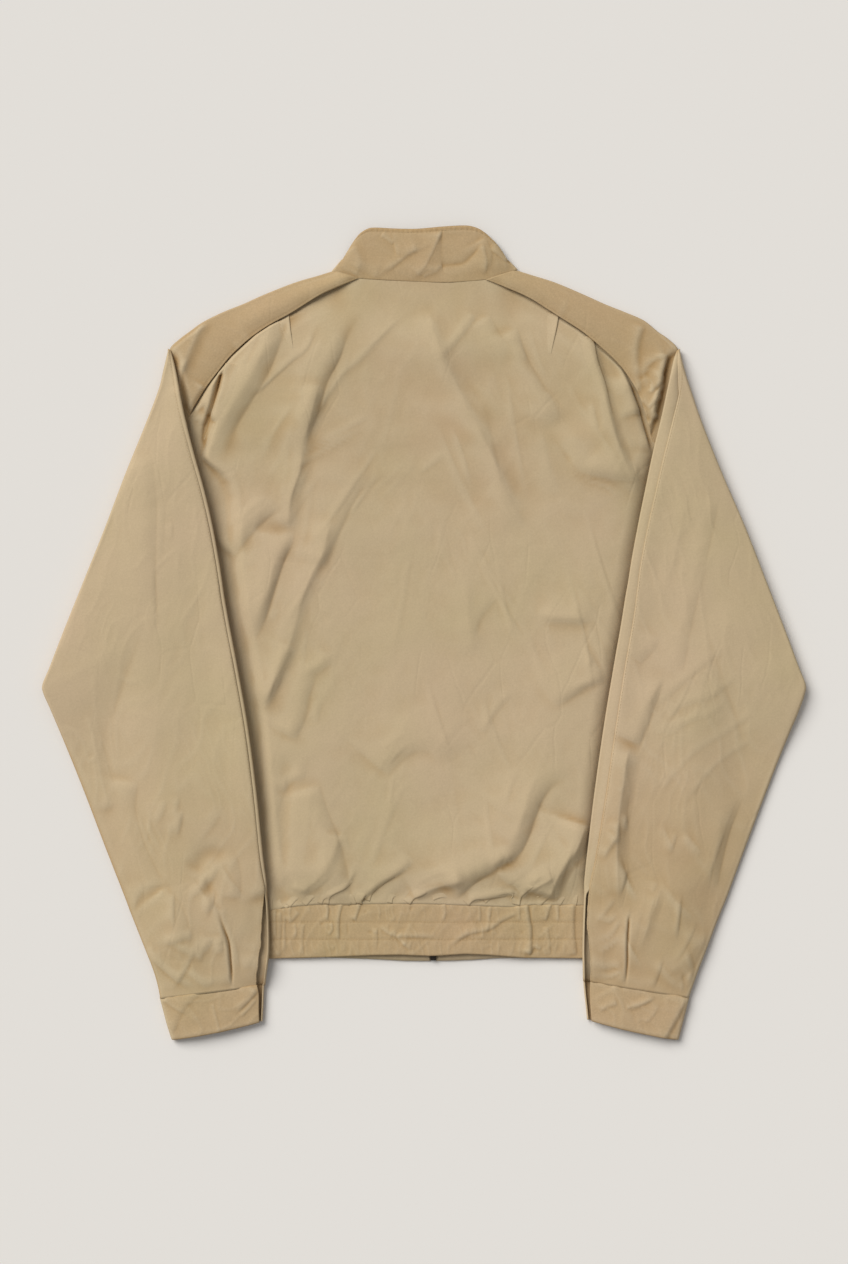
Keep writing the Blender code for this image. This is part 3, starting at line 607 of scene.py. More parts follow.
CUFFS = {
    -1.0: np.array([
        (248.3, -341.8, 149.6, -328.8, 7.6), (245.5, -352.0, 150.2, -339.0, 5.2),
        (241.5, -367.0, 150.8, -352.0, 4.6), (237.0, -381.3, 151.5, -363.5, 3.6),
    ]),
    1.0: np.array([
        (249.3, -340.8, 149.4, -324.8, 7.2), (246.5, -352.0, 150.3, -336.0, 6.0),
        (243.0, -366.0, 151.8, -350.0, 5.0), (239.0, -381.3, 153.0, -361.8, 5.0),
    ]),
}
SADDLES = {
    -1.0: np.array([
        # seam_x, seam_y, fold_x, fold_y
        (62.0, 335.0, 84.0, 342.5), (82.0, 326.5, 100.0, 337.5), (100.0, 318.0, 122.0, 331.0),
        (125.0, 302.5, 150.0, 320.0), (145.0, 291.5, 170.0, 311.0), (160.0, 281.5, 190.0, 303.0),
        (172.0, 271.5, 208.0, 294.0), (183.0, 261.0, 220.0, 285.5), (192.0, 250.0, 230.0, 278.0),
        (205.0, 233.0, 239.3, 268.5), (212.0, 222.0, 242.0, 252.0), (220.0, 208.0, 247.0, 228.0),
        (226.0, 190.0, 256.0, 197.0), (231.0, 150.0, 271.0, 158.0), (240.0, 110.0, 289.0, 113.0),
        (248.0, 70.0, 308.0, 64.0), (255.0, 35.0, 329.0, 12.0), (262.0, 7.0, 350.0, -43.0),
    ]),
    1.0: np.array([
        (58.0, 334.0, 86.0, 343.0), (78.0, 326.0, 102.0, 338.0), (100.0, 316.0, 124.0, 331.0),
        (127.0, 299.0, 150.0, 320.0), (146.0, 287.0, 170.0, 311.0), (157.0, 278.5, 190.0, 303.0),
        (168.0, 269.0, 207.0, 295.5), (178.0, 260.0, 220.0, 285.0), (188.0, 249.0, 230.0, 278.0),
        (200.0, 230.0, 239.3, 268.0), (207.0, 212.0, 241.5, 250.0), (213.0, 190.0, 247.0, 226.0),
        (218.0, 170.0, 255.0, 197.0), (231.0, 145.0, 271.0, 158.0), (240.0, 108.0, 289.0, 113.0),
        (248.0, 70.0, 308.0, 64.0), (255.0, 35.0, 329.0, 12.0), (262.0, 7.0, 350.0, -43.0),
    ]),
}
NECK_SEAM = np.array([
    (-85.0, 341.7), (-62.0, 335.0), (-13.6, 332.0), (18.8, 330.8), (58.0, 333.6), (85.0, 342.0),
])
WAIST_SEAM = np.array([
    (-224, -256), (-144, -260.2), (-119, -256.2), (-101, -254.6), (-65, -254.2), (-4, -253.8), (41, -255.4),
    (83, -257.2), (104, -255.0), (148.5, -255.6), (224, -255),
])
print("sections:", {side: len(rows) for side, rows in SLEEVES.items()})


def inner_x(side, y):
    rows = SLEEVES[side][::-1]
    return np.interp(y, rows[:, 3], rows[:, 2])


def lap_x(side, y):
    rows = SADDLES[side][::-1]
    return np.interp(y, rows[:, 1], rows[:, 0])


# %% [markdown]
# The back is one wide panel. It rests on the fronts, swells over the air that is inside the jacket,
# and dives under the saddles and the sleeves. Folds hang from the two tucks at each shoulder, and the
# waistband's elastic pulls gathers up from below.

# %% The back
BACK_CREASES = (
    # line, lit, shade, height, sharp, fade_in, fade_out
    # left shoulder
    (((-131, 301), (-139, 272), (-150, 245), (-166, 219), (-180, 195), (-196, 152)),
     30, 14, 4.8, 1.4, 0.1, 0.35),
    (((-150, 292), (-164, 262), (-180, 228)), 8, 5, 0.5, 2.0, 0.3, 0.3),
    (((-97, 302), (-103, 285), (-109, 268), (-125, 255), (-148, 234), (-161, 223)),
     5, 3, 0.7, 2.0, 0.35, 0.1),
    (((-58, 311), (-73, 286), (-81, 262), (-93, 239), (-101, 213), (-109, 191), (-117, 159)),
     22, 12.4, 4.0, 2.0, 0.4, 0.35),
    (((-95, 237), (-103, 205), (-110, 178), (-114, 152), (-122, 126), (-124, 96)),
     17, 12, 2.7, 0.5, 0.1, 0.1),
    (((-123, 104), (-125, 88), (-134, 68), (-144, 37), (-152, 12), (-164, -12)),
     21, 9.7, 3.9, 2.0, 0.25, 0.35),
    (((-130, 125), (-151, 109), (-165, 94), (-182, 72)), 19, 13, 2.9, 2.0, 0.35, 0.1),
    (((-84, 110), (-92, 76), (-102, 57), (-113, 28), (-122, -6), (-136, -40), (-150, -72)),
     18, 12, 2.4, 0.5, 0.1, 0.1),
    (((-4, 312), (-39, 280), (-59, 258), (-75, 244), (-96, 213), (-110, 187)), 10, 6, 0.9, 0.5, 0.35, 0.1),
    (((-48, 205), (-85, 185), (-123, 164)), 5, 3, 0.45, 2.0, 0.2, 0.2),
    (((-50, 196), (-86, 176), (-121, 154)), 5, 3, 0.5, 2.0, 0.35, 0.1),
    (((-45, 160), (-71, 120), (-96, 61)), 19, 12, 1.6, 2.0, 0.35, 0.1),
    (((-191, 249), (-194, 234), (-199, 214), (-206, 196)), 7, 2.0, 2.2, 2.0, 0.05, 0.3),
    (((-191, 247), (-194.5, 232), (-199.5, 214), (-204, 200), (-207, 184), (-206, 172)),
     2.6, 2.6, -6.0, 2.0, 0.05, 0.3),
    (((-221, 209), (-212, 212), (-202, 219)), 3, 1.8, 1.0, 2.0, 0.1, 0.2),
    (((-216, 204), (-208, 199), (-201, 204)), 3, 2.0, 1.0, 2.0, 0.1, 0.2),
    # right shoulder
    (((6, 309), (17, 273), (30, 242), (46, 211), (59, 185), (71, 160), (86, 122), (102, 96)),
     20, 14, 2.3, 0.5, 0.1, 0.2),
    (((50, 300), (33, 277), (14, 256)), 6, 4.5, 0.7, 2.0, 0.1, 0.2),
    (((59, 301), (72, 278), (86, 262)), 11, 8, 0.9, 2.0, 0.1, 0.35),
    (((85, 290), (94, 262), (101, 248), (114, 227), (132, 200)), 15, 9, 1.5, 2.0, 0.1, 0.2),
    (((118, 196), (134, 173), (149, 153), (176, 146), (199, 129)), 22, 14, 2.2, 2.0, 0.35, 0.35),
    (((147, 156), (177, 146), (204, 146)), 12, 9, 0.7, 2.0, 0.2, 0.1),
    (((158, 276), (163, 256), (170, 234), (175, 212), (181, 190), (188, 170), (198, 148), (205, 129)),
     20, 9, 2.8, 0.6, 0.0, 0.35),
    (((190, 262), (198, 236), (207, 208)), 13, 4, 2.2, 2.0, 0.35, 0.1),
    (((110, 200), (118, 162), (128, 128)), 11, 8, 0.5, 0.5, 0.35, 0.2),
    (((194, 240), (200, 226), (205.5, 210), (210, 196), (214, 180)), 4.5, 4.5, -4.2, 2.0, 0.2, 0.25),
    # middle
    (((104, 15), (130, 13), (162, 11)), 15, 11, 1.8, 0.5, 0.35, 0.35),
    (((44, 70), (45, 20), (50, -22)), 19, 13, 0.8, 0.5, 0.35, 0.2),
    (((72, 38), (53, 15), (48, -10)), 13, 6, 0.6, 2.0, 0.35, 0.35),
    (((20, 170), (6, 158), (-4, 150)), 5, 3, 0.4, 0.5, 0.2, 0.3),
    # left below
    (((-98, -29), (-108, -53), (-113, -78), (-124, -100)), 15, 10, 1.8, 2.0, 0.35, 0.1),
    (((-83, -17), (-97, -30), (-118, -44)), 12, 9, 1.3, 0.5, 0.35, 0.35),
    (((-121, -11), (-137, -43), (-150, -76)), 13, 9, 1.5, 0.5, 0.1, 0.35),
    (((-128, -110), (-131, -160), (-133, -200), (-134, -246)), 8, 8, -1.8, 2.0, 0.2, 0.0),
    (((-132, -150), (-124, -138), (-107, -133)), 8, 6, 1.2, 2.0, 0.2, 0.35),
    (((-102, -138), (-93, -168), (-82, -194), (-76, -220), (-70, -251)), 16, 12.4, 2.1, 2.0, 0.1, 0.0),
    (((-76, -189), (-87, -216), (-102, -235), (-120, -247)), 14, 9, 1.6, 0.5, 0.1, 0.1),
    (((-60, -214), (-68, -230), (-76, -240), (-94, -249)), 5, 3.8, 1.0, 0.5, 0.35, 0.1),
    (((-127, -239), (-106, -243)), 6, 5, 1.0, 0.5, 0.3, 0.3),
    (((-7, -212), (-24, -225), (-41, -235), (-55, -247)), 11, 4.2, 2.2, 2.0, 0.35, 0.0),
    # right below
    (((-9, -250), (13, -239), (40, -234)), 14, 7, 2.2, 0.5, 0.1, 0.2),
    (((27, -249), (46, -231), (65, -220), (85, -207), (95, -190), (102, -170), (111, -150), (123, -137),
      (142, -131)), 32, 14.0, 3.9, 2.0, 0.1, 0.35),
    (((61, -221), (74, -215), (87, -205)), 10, 5, 1.2, 2.0, 0.3, 0.3),
    (((155, -178), (146, -202), (136, -215), (128, -229), (119, -252)), 30, 10, 4.4, 0.7, 0.1, 0.1),
    (((42, -253), (61, -248), (84, -245), (98, -254)), 7, 4, 1.3, 2.0, 0.1, 0.35),
    (((66, -222), (83, -235), (97, -244)), 7, 5, 0.7, 0.5, 0.1, 0.1),
    (((123, -229), (104, -240), (92, -248)), 10, 5, 1.4, 0.5, 0.1, 0.1),
    (((50, -148), (70, -164), (93, -178)), 8, 5, 0.4, 2.0, 0.35, 0.35),
    (((-38, -133), (-20, -114), (2, -107), (20, -126)), 26, 16, 1.7, 2.0, 0.1, 0.35),
    (((171, -40), (139, -57), (118, -70)), 24, 12, 1.4, 2.0, 0.1, 0.3),
    (((88, -52), (69, -71), (56, -94)), 6, 4.5, 0.4, 2.0, 0.35, 0.1),
)


def long_streaks(seed, count=40):
    """Long faint creases that run down the back and away from its middle, as rows of a crease table."""
    random = np.random.default_rng(seed)
    made = []
    for _ in range(count):
        x, y = random.uniform(-175.0, 175.0), random.uniform(-140.0, 305.0)
        length = random.uniform(45.0, 150.0)
        lean, bow = 0.4 * np.sign(x) + random.uniform(-0.3, 0.3), random.uniform(-4.0, 4.0)
        line = falling(x, y, length, 0.5 * lean * length + bow, lean * length)
        made.append(drawn_row(random, line, (2.5, 6.0), (1.5, 4.0), (0.12, 0.42)))
    return tuple(made)


BACK_FOLDS = with_companions(BACK_CREASES, 101) + long_streaks(107)
BACK_RISE = 5.8  # the air under the middle of the back
LEFT_VALLEY = np.array([
    (-254, 2), (-150, 2), (-50, 7), (60, 8), (110, 14), (130, 17), (144, 16), (156, 10), (167, 4), (182, 13),
    (200, 23), (222, 13), (250, 6),
])


def neck_level(x):
    """Middle of the collar at its seam."""
    return 7.6 + 0.9 * smooth(80.0, 20.0, np.abs(x)) - 2.0 * smooth(62.0, 86.0, np.abs(x))


def under_sleeve(x, y, out, edge):
    """1 on the open back, down to 0 where it dives under a sleeve. Out is the distance from the middle."""
    level = np.interp(y, *LEFT_VALLEY.T)
    left = smooth(edge - level, edge - level - lerp(15.0, 8.0, smooth(150.0, 162.0, y)), out)
    right = 1.0 - (1.0 - np.clip((edge + 1.0 - out) / 15.0, 0.0, 1.0)) ** 2
    return np.where(x < 0, left, right)


def under_saddle(x, y, out, lap):
    """The same where it dives under a saddle: steeply where the right one stands open, in part elsewhere."""
    narrow = 5.5 + 3.0 * swell(0.0 * x, y, 27.0, 57)
    open_lap = smooth(168.0, 182.0, y) * smooth(246.0, 226.0, y) * (x > 0)
    broad = lerp(smooth(lap - 6.0, lap - 32.0, out), 1.0, open_lap)
    steep = smooth(lap - 0.5 - 2.6 * open_lap, lap - lerp(narrow, 5.6, open_lap), out)
    both = lerp(broad, steep, lerp(0.5, 1.0, open_lap))
    return lerp(1.0, both, np.where(x < 0, smooth(172.0, 212.0, y), smooth(166.0, 182.0, y)))


def back_folds(x, y):
    """Height that the creases, the swells and the gathers add to the back."""
    folds = creased(x, y, BACK_FOLDS) * lerp(1.0, 1.3, smooth(0.0, 40.0, x))
    folds = folds + 1.0 * swell(x, y, 95.0, 3) + 0.45 * swell(x, y, 42.0, 5) + 0.12 * swell(x, y, 17.0, 7)
    folds = folds + 0.12 * ridges(x, y, 30.0, 11, -24.0, 3.5) + 0.08 * ridges(x, y, 16.0, 15, 30.0, 3.0)
    leaning = ridges(x, y, 11.0, 17, -26.0, 6.0), ridges(x, y, 11.0, 19, 24.0, 6.0)
    folds = folds + 0.2 * lerp(*leaning, smooth(-60.0, 60.0, x)) * smooth(-0.3, 0.6, swell(x, y, 70.0, 13))
    above = y - np.interp(x, *WAIST_SEAM.T)
    folds = folds * lerp(0.35, 1.0, smooth(0.0, 10.0, above)) * smooth(337.0, 318.0, y)
    gathers = 1.3 + 0.5 * swell(x, y, 13.0, 9)
    return folds + gathers * smooth(-0.3, 1.6, above) * smooth(30.0, 4.0, above)


def back_mid(x, y):
    """Middle of the back's cloth at points (x, y)."""
    out = np.abs(x)
    edge = np.where(x < 0, inner_x(-1.0, y), inner_x(1.0, y))
    lap = np.where(x < 0, lap_x(-1.0, y), lap_x(1.0, y))
    dive = under_sleeve(x, y, out, edge) * under_saddle(x, y, out, lap)
    ends = smooth(WAIST_Y - 1.0, WAIST_Y + 34.0, y)
    shown = smooth(edge + 6.0, edge - 4.0, out)
    shown = shown * lerp(1.0, smooth(lap + 2.0, lap - 6.0, out), smooth(172.0, 200.0, y))
    folds = back_folds(x, y) * shown
    floor = back_seat(x, y) + CLOTH / 2 + 0.2
    lifted = floor + BACK_RISE * dive * ends + folds
    lifted = lerp(lifted, neck_level(x) - 0.45 + folds, smooth(262.0, 331.0, y))
    return np.maximum(lifted, floor + 0.15 * (lifted - floor))


def back_grid(columns=228):
    """Rows from waist to neck. Its columns crowd where the cloth bends most."""
    near = WAIST_Y + 32.0 * np.linspace(0.0, 1.0, 24)[:-1] ** 1.6
    ys = np.concatenate([near, np.linspace(-222.0, NECK_Y, 194)])[:, None]

    def reach(side):
        """How far out each row goes: to the side seam, and above the armpit to a lap under the saddle."""
        return np.where(ys < ARMPIT_Y, side_x(ys), np.minimum(lap_x(side, ys) + SADDLE_LAP, ARMPIT_X))

    def bent(xs):
        """The rows, bent to the neck seam and to the waist seam."""
        y = ys + (np.interp(xs, *NECK_SEAM.T) + 2.4 - NECK_Y) * smooth(290.0, NECK_Y, ys)
        return y + (np.interp(xs, *WAIST_SEAM.T) - 0.4 - WAIST_Y) * smooth(-228.0, WAIST_Y, ys)

    fine = lerp(-reach(-1.0), reach(1.0), np.linspace(0.0, 1.0, 520)[None, :])
    heights = back_mid(fine, bent(fine))
    bend = np.abs(np.gradient(np.gradient(heights, axis=1), axis=1))
    weight = 1.0 + 4.0 * blur(np.minimum(bend / np.percentile(bend, 96), 1.0), 12)
    total = np.cumsum(weight, axis=1)
    total = (total - total[:, :1]) / (total[:, -1:] - total[:, :1])
    xs = np.array([np.interp(np.linspace(0.0, 1.0, columns), t, row) for t, row in zip(total, fine)])
    return np.stack([xs, bent(xs), back_mid(xs, bent(xs))], axis=-1)


back_points = back_grid()
back = cloth("back", back_points, darkening=0.025 * smooth(60.0, 200.0, back_points[..., 1]))
print("back:", len(back.data.polygons), "faces, top at", round(PANELS["back"][0][..., 2].max(), 1), "mm")

# %% [markdown]
# A saddle is the strip from the collar over the shoulder. It is cut in one with the sleeve, laps the
# back with a turned edge, and goes round the shoulder to the front. Its sections are flattened tubes
# that are open towards the body.

# %% Saddles and upper arms
SADDLE_CREASES = (
    (((-204, 297), (-212, 280), (-221, 258), (-228, 234), (-230, 213)), 22, 10, 2.6, 0.5, 0.1, 0.1),
    (((-219, 261), (-229, 242), (-224, 214)), 10, 6, 2.0, 0.5, 0.35, 0.1),
    (((-206, 234), (-213, 223), (-222, 206)), 8, 4, 1.4, 2.0, 0.1, 0.1),
    (((208, 292), (203, 276), (201.5, 261), (203, 243), (205, 226)), 9, 4.5, 1.5, 1.4, 0.1, 0.1),
    (((210, 292), (222, 281), (237, 267)), 5, 1.6, 1.3, 2.0, 0.1, 0.1),
    (((229, 262), (219, 258), (210, 250), (206, 240)), 8, 3.0, 1.3, 2.0, 0.15, 0.2),
    (((228, 243), (221, 234), (214, 228), (209, 230)), 7, 2.6, 1.5, 2.0, 0.1, 0.2),
    (((225, 222), (218, 219), (211, 211)), 6, 2.2, 1.4, 2.0, 0.1, 0.2),
    (((221, 206), (217, 203), (212, 195)), 4, 2.0, 1.0, 2.0, 0.1, 0.2),
    (((229.5, 264), (226.5, 251), (223, 238)), 7, 2.0, 1.8, 2.0, 0.15, 0.3),
    (((221.5, 231), (219, 221), (215.5, 206)), 5, 2.0, 1.6, 2.0, 0.2, 0.2),
    (((233, 263), (230, 250), (227, 236)), 2.4, 2.4, -2.4, 1.6, 0.15, 0.3),
    (((226, 232), (223, 222), (219, 204)), 2.2, 2.2, -2.2, 1.6, 0.2, 0.2),
    (((66, 331), (84, 323), (100, 315), (112, 308)), 7, 2.0, 0.8, 2.0, 0.3, 0.3),
    (((-66, 333), (-84, 325.5), (-97, 319), (-112, 309)), 8, 2.0, 1.3, 2.0, 0.3, 0.3),
    (((-160, 281), (-168, 274), (-178, 265)), 7, 2.0, 1.0, 2.0, 0.3, 0.3),
    (((230, 261), (225, 246), (226, 226), (221, 200)), 14, 6.2, 2.6, 2.0, 0.35, 0.1),
    (((207, 245), (216, 232), (208, 215)), 8, 6, 1.0, 2.0, 0.1, 0.1),
    (((138, 318), (131, 300), (125, 293)), 5, 4, 0.3, 2.0, 0.35, 0.1),
)


SIDES = ((-1.0, "left"), (1.0, "right"))
SADDLE_RADIUS = 1.9  # of the fold at the shoulder's outline
SADDLE_STITCHES_AT = 2.2  # from the seam


def dip(distance, width):
    """1 on a line and 0 away from it, for the groove that a row of stitches or a seam presses in."""
    return np.exp(-((distance / width) ** 2))


def rolled_edge(start, reach, high, low, first=70):
    """The turn round an outer edge, from the upper layer down to the lower one: distances and heights."""
    angles = np.radians(np.linspace(first, -90, 8))
    centre = (high + low) / 2
    return start + reach * np.cos(angles), centre + (high - centre) * np.sin(angles)


def saddle_steps(width):
    """Distances from the seam, close together at its turned edge and towards the fold."""
    d = np.concatenate([[0.0, 0.4, 0.9, 1.5, 2.2, 3.0, 4.0, 5.2], np.linspace(6.5, width - 6.0, 26),
                        width - 6.0 * (1 - np.linspace(0.15, 0.75, 4))])
    d = d[d < width - 1.0]
    return np.interp(np.linspace(0, 1, 38), np.linspace(0, 1, len(d)), d)


def saddle_height(x, y, d, width, side, shown):
    """Middle of the saddle's upper layer, d from its seam. Shown is 1 on the part that is in view."""
    seam_z = back_seat(x, y) + CLOTH + 2.6 * shown
    z = lerp(seam_z, LOW_MID + 2 * SADDLE_RADIUS, smooth(0.25, 1.0, d / width)) + CLOTH / 2
    crown = np.sin(math.pi * np.clip(d / width, 0, 1)) ** 0.7
    z = z + (1.0 * shown * smooth(10.0, 26.0, width) + 0.3) * crown
    z = z + shown * crown * (0.6 * swell(x, y, 38.0, 21) + 0.15 * ridges(x, y, 17.0, 23, 60.0, 3.0))
    z = z + shown * creased(x, y, SADDLE_CREASES) * smooth(width, width - 5.0, d)
    z = z - 0.2 * dip(d - SADDLE_STITCHES_AT, 0.6) * shown
    to_sleeve = inner_x(side, y) - np.abs(x)
    dive = 5.0 * smooth(9.0, 0.5, to_sleeve) * smooth(270.0, 256.0, y)
    return np.maximum(z - np.minimum(dive, 0.7 * np.maximum(z - 2.2, 0.0)), 1.9)


def saddle_grid(side):
    grid = []
    for seam_x, seam_y, fold_x, fold_y in evenly(SADDLES[side], 1.9, columns=(2, 3)):
        width = np.hypot(fold_x - seam_x, fold_y - seam_y)
        d = saddle_steps(width)
        x, y = side * lerp(seam_x, fold_x, d / width), lerp(seam_y, fold_y, d / width)
        z = saddle_height(x, y, d, width, side, smooth(200.0, 240.0, fold_y))
        round_d, round_z = rolled_edge(d[-1], width - d[-1], z[-1], LOW_MID, first=75)
        under_d = np.linspace(d[-1], max(2.0, width * 0.25), 8)[1:]
        d = np.concatenate([d, round_d, under_d])
        x, y = side * lerp(seam_x, fold_x, d / width), lerp(seam_y, fold_y, d / width)
        grid.append(np.stack([x, y, np.concatenate([z, round_z, np.full(len(under_d), LOW_MID)])], axis=-1))
    return np.array(grid)


# Each saddle's folded outline gets painted shade along its edge.
saddles = {
    side: cloth(f"saddle_{name}", saddle_grid(side), finish=doubled_finish, darkening=0.11, rim=16)
    for side, name in SIDES
}
print("saddles:", [len(s.data.polygons) for s in saddles.values()], "faces")

# %% [markdown]
# A sleeve is a tube that was pressed flat. The layer that shows starts at the seam near the inner edge,
# runs across and wraps round the outer edge down to the table. The layer underneath turns up round the
# inner edge to meet it, and from the vent down it lies open. Both read the same thickness, so they meet.

# %% Sleeves
INNER_HIGH = {-1.0: 12.0, 1.0: 7.6}
FOLD_RADIUS = 1.3
OUTER_ROLL = 2.5
SLEEVE_BULGE = 4.2
TURNED_MID = 0.5  # middle of the cloth that is turned under the outer edge
VENT_TOP_Y = -238.0
SLEEVE_CREASES = {
    -1.0: (
        (((-312, -70), (-306, -104), (-300, -136), (-292, -166)), 15, 11.8, 1.4, 0.5, 0.35, 0.1),
        (((-270, -136), (-274, -164), (-266, -196), (-254, -222), (-244, -239)), 18, 13, 1.8, 2.0, 0.1, 0.1),
        (((-218, -226), (-206, -208), (-194, -206), (-186, -216)), 8, 8, -1.5, 2.0, 0.2, 0.3),
        (((-182, -197), (-174, -222), (-174, -249)), 10, 7.8, 0.9, 2.0, 0.35, 0.1),
        (((-204, -226), (-200, -240), (-197, -252)), 5, 5, -1.6, 2.0, 0.35, 0.35),
        (((-199, -246), (-194.5, -258), (-188, -276), (-183.6, -290), (-182, -306), (-181, -320),
          (-180.5, -337)), 11, 4.0, 1.4, 2.0, 0.35, 0.1),
        (((-193, -262), (-187, -278), (-183, -290), (-181.6, -306), (-180.8, -320), (-180.3, -337)),
         1.4, 1.4, -2.9, 2.0, 0.35, 0.35),
        (((-246, -236), (-228, -260), (-220, -288)), 17, 12, 1.5, 2.0, 0.1, 0.1),
        (((-267, -297), (-249, -312), (-231, -327), (-210, -336)), 6, 4.8, 1.1, 2.0, 0.1, 0.35),
        (((-265, -297), (-245, -316), (-228, -327)), 6, 4, 0.6, 2.0, 0.1, 0.1),
        (((-228, -316), (-214, -324), (-205, -335)), 8, 6, 1.3, 0.5, 0.35, 0.1),
        (((-250, -282), (-228, -296), (-207, -305)), 12, 8, 1.3, 0.5, 0.35, 0.1),
        (((-170, -316), (-161, -306), (-156, -288)), 8, 4, 1.4, 0.6, 0.35, 0.2),
        (((-259, 173), (-254, 120), (-255, 56), (-252, -8)), 23, 14, 1.3, 2.0, 0.1, 0.35),
        (((-290, -38), (-276, -46), (-262, -44)), 4, 3, 0.3, 0.5, 0.3, 0.3),
        (((-282, -78), (-266, -76), (-250, -84)), 4, 3, 0.3, 0.5, 0.3, 0.3),
    ),
    1.0: (
        (((226, -37), (217, -60), (208, -85), (199, -106)), 15, 9.6, 2.2, 2.0, 0.35, 0.1),
        (((199, -106), (193, -117), (190, -140), (186, -168), (184, -200), (185, -240), (186, -262)),
         16, 13, 4.2, 0.6, 0.1, 0.3),
        (((194, -252), (193, -270), (192, -290), (191, -310), (189, -332)), 8, 3, 1.2, 2.0, 0.3, 0.2),
        (((192.5, -262), (191.8, -276), (191, -290), (191, -308), (190, -322), (189, -334)),
         1.3, 1.3, -2.9, 2.0, 0.15, 0.55),
        (((182, -190), (174, -201), (168, -212)), 8, 5, 1.3, 0.5, 0.1, 0.35),
        (((222, -2), (212, -16), (201, -27)), 14, 9, 0.9, 2.0, 0.35, 0.1),
        (((292, -8), (262, -30), (235, -53), (212, -76)), 8, 5, 0.5, 2.0, 0.35, 0.35),
        (((300, -34), (272, -58), (246, -66), (228, -80)), 7, 4.5, 0.5, 2.0, 0.35, 0.1),
        (((290, -60), (266, -76), (236, -85), (217, -94)), 4, 3, 0.4, 0.5, 0.35, 0.1),
        (((262, -72), (244, -86), (226, -96)), 4, 3.4, 0.35, 2.0, 0.1, 0.1),
        (((312, -74), (286, -92), (254, -112), (222, -148)), 6, 4, 0.35, 2.0, 0.1, 0.1),
        (((310, -100), (276, -122), (242, -162)), 4, 3, 0.3, 2.0, 0.1, 0.35),
        (((276, 132), (262, 66), (248, 4), (240, -40)), 13, 9.7, 0.9, 2.0, 0.1, 0.1),
        (((250, 140), (240, 84), (226, 30)), 14, 9, 0.6, 0.5, 0.35, 0.35),
        (((300, -146), (285, -184), (277, -216), (271, -250)), 17, 12.8, 2.5, 2.0, 0.35, 0.35),
        (((273, -281), (261, -300), (246, -316), (225, -334)), 20, 12.0, 2.0, 1.2, 0.25, 0.3),
        (((228, -230), (214, -268), (204, -302)), 13, 9, 1.4, 0.5, 0.35, 0.35),
        (((158, -265), (174, -270), (184, -262)), 4, 3, 0.7, 2.0, 0.3, 0.3),
        (((160, -290), (176, -283), (187, -266)), 4, 3, 0.7, 2.0, 0.3, 0.3),
        (((156, -310), (170, -314), (187, -312)), 5, 3.0, 0.9, 2.0, 0.2, 0.2),
        (((157, -276), (170, -262), (183, -246)), 5, 2.5, 0.6, 2.0, 0.3, 0.3),
        (((159, -300), (173, -295), (186, -284)), 4, 2.5, 0.7, 2.0, 0.3, 0.3),
        (((156, -322), (174, -323), (189, -316)), 3, 2.6, 0.8, 2.0, 0.2, 0.2),
    ),
}


def small_folds(side, seed, count=16):
    """Short soft folds low on the sleeve, which run down it and lean either way."""
    random = np.random.default_rng(seed)
    made = []
    for _ in range(count):
        x, y = side * random.uniform(172.0, 268.0), random.uniform(-318.0, -150.0)
        lean, length = random.uniform(-0.9, 0.9), random.uniform(18.0, 46.0)
        line = falling(x, y, length, 0.4 * lean * length, lean * length)
        made.append(drawn_row(random, line, (4.0, 9.0), (2.2, 5.0), (0.5, 1.25)))
    return tuple(made)


SLEEVE_FOLDS = {
    side: with_companions(SLEEVE_CREASES[side], seed) + small_folds(side, seed + 4)
    for side, seed in ((-1.0, 103), (1.0, 105))
}
SLEEVE_SWELLS = {-1.0: 31, 1.0: 37}
ELBOW_LINE = ((ARMPIT_X, ARMPIT_Y), (359.0, -50.0))
VENT_CURL = 1.7  # how far the open vent's edge leans out at its tip


def arm_below(x, y):
    """1 where the upper arm lies under the folded sleeve, above the line from armpit to elbow."""
    (ax, ay), (bx, by) = ELBOW_LINE
    line_y = ay + (np.abs(x) - ax) * (by - ay) / (bx - ax)
    return smooth(-95.0, 0.0, y - line_y)


def sleeve_rest(x, y, reach):
    """Height of what the folded sleeve lies on. Reach is how far past the body it comes down."""
    past = smooth(reach, 0.0, np.abs(x) - side_x(y) - 2.0)
    on_something = np.maximum(past, arm_below(x, y))
    return on_something * smooth(-338.0, -306.0, y) * (back_seat(x, y) + SLEEVE_OVER_BODY)


def roll(d, radius):
    """Height of a rolled edge of this radius, d in from its outermost point."""
    return radius + np.sqrt(np.maximum(radius**2 - np.maximum(radius - d, 0.0) ** 2, 0.0))


def fold_radius(width):
    return np.minimum(FOLD_RADIUS, 0.28 * width)


def edge_rise(y, width, side):
    """How far the lower layer climbs to the folded inner edge, less and less towards the vent."""
    high = np.minimum(INNER_HIGH[side], 0.56 * width) * lerp(0.55, 1.0, smooth(-236.0, -140.0, y))
    return np.maximum(high - 2 * fold_radius(width), 0.0)


def tube_thickness(d, y, width, side):
    """From the middle of the lower layer to the middle of the upper one, d from the inner edge."""
    radius, rise = fold_radius(width), edge_rise(y, width, side)
    outer = np.minimum(OUTER_ROLL, 0.28 * width)
    t = np.clip(d / width, 0.0, 1.0)
    bulge = SLEEVE_BULGE * smooth(8.0, 80.0, width) * np.sin(math.pi * t) ** 0.9
    return rise * (1.0 - t) ** 2 + roll(d, radius) + 2 * (outer - radius) * t + bulge


def cuff_top(d, width):
    """Middle of a cuff's upper layer."""
    return BAND / 2 + 5.2 + 3.2 * np.sin(math.pi * np.clip(d / width, 0.0, 1.0)) ** 0.6


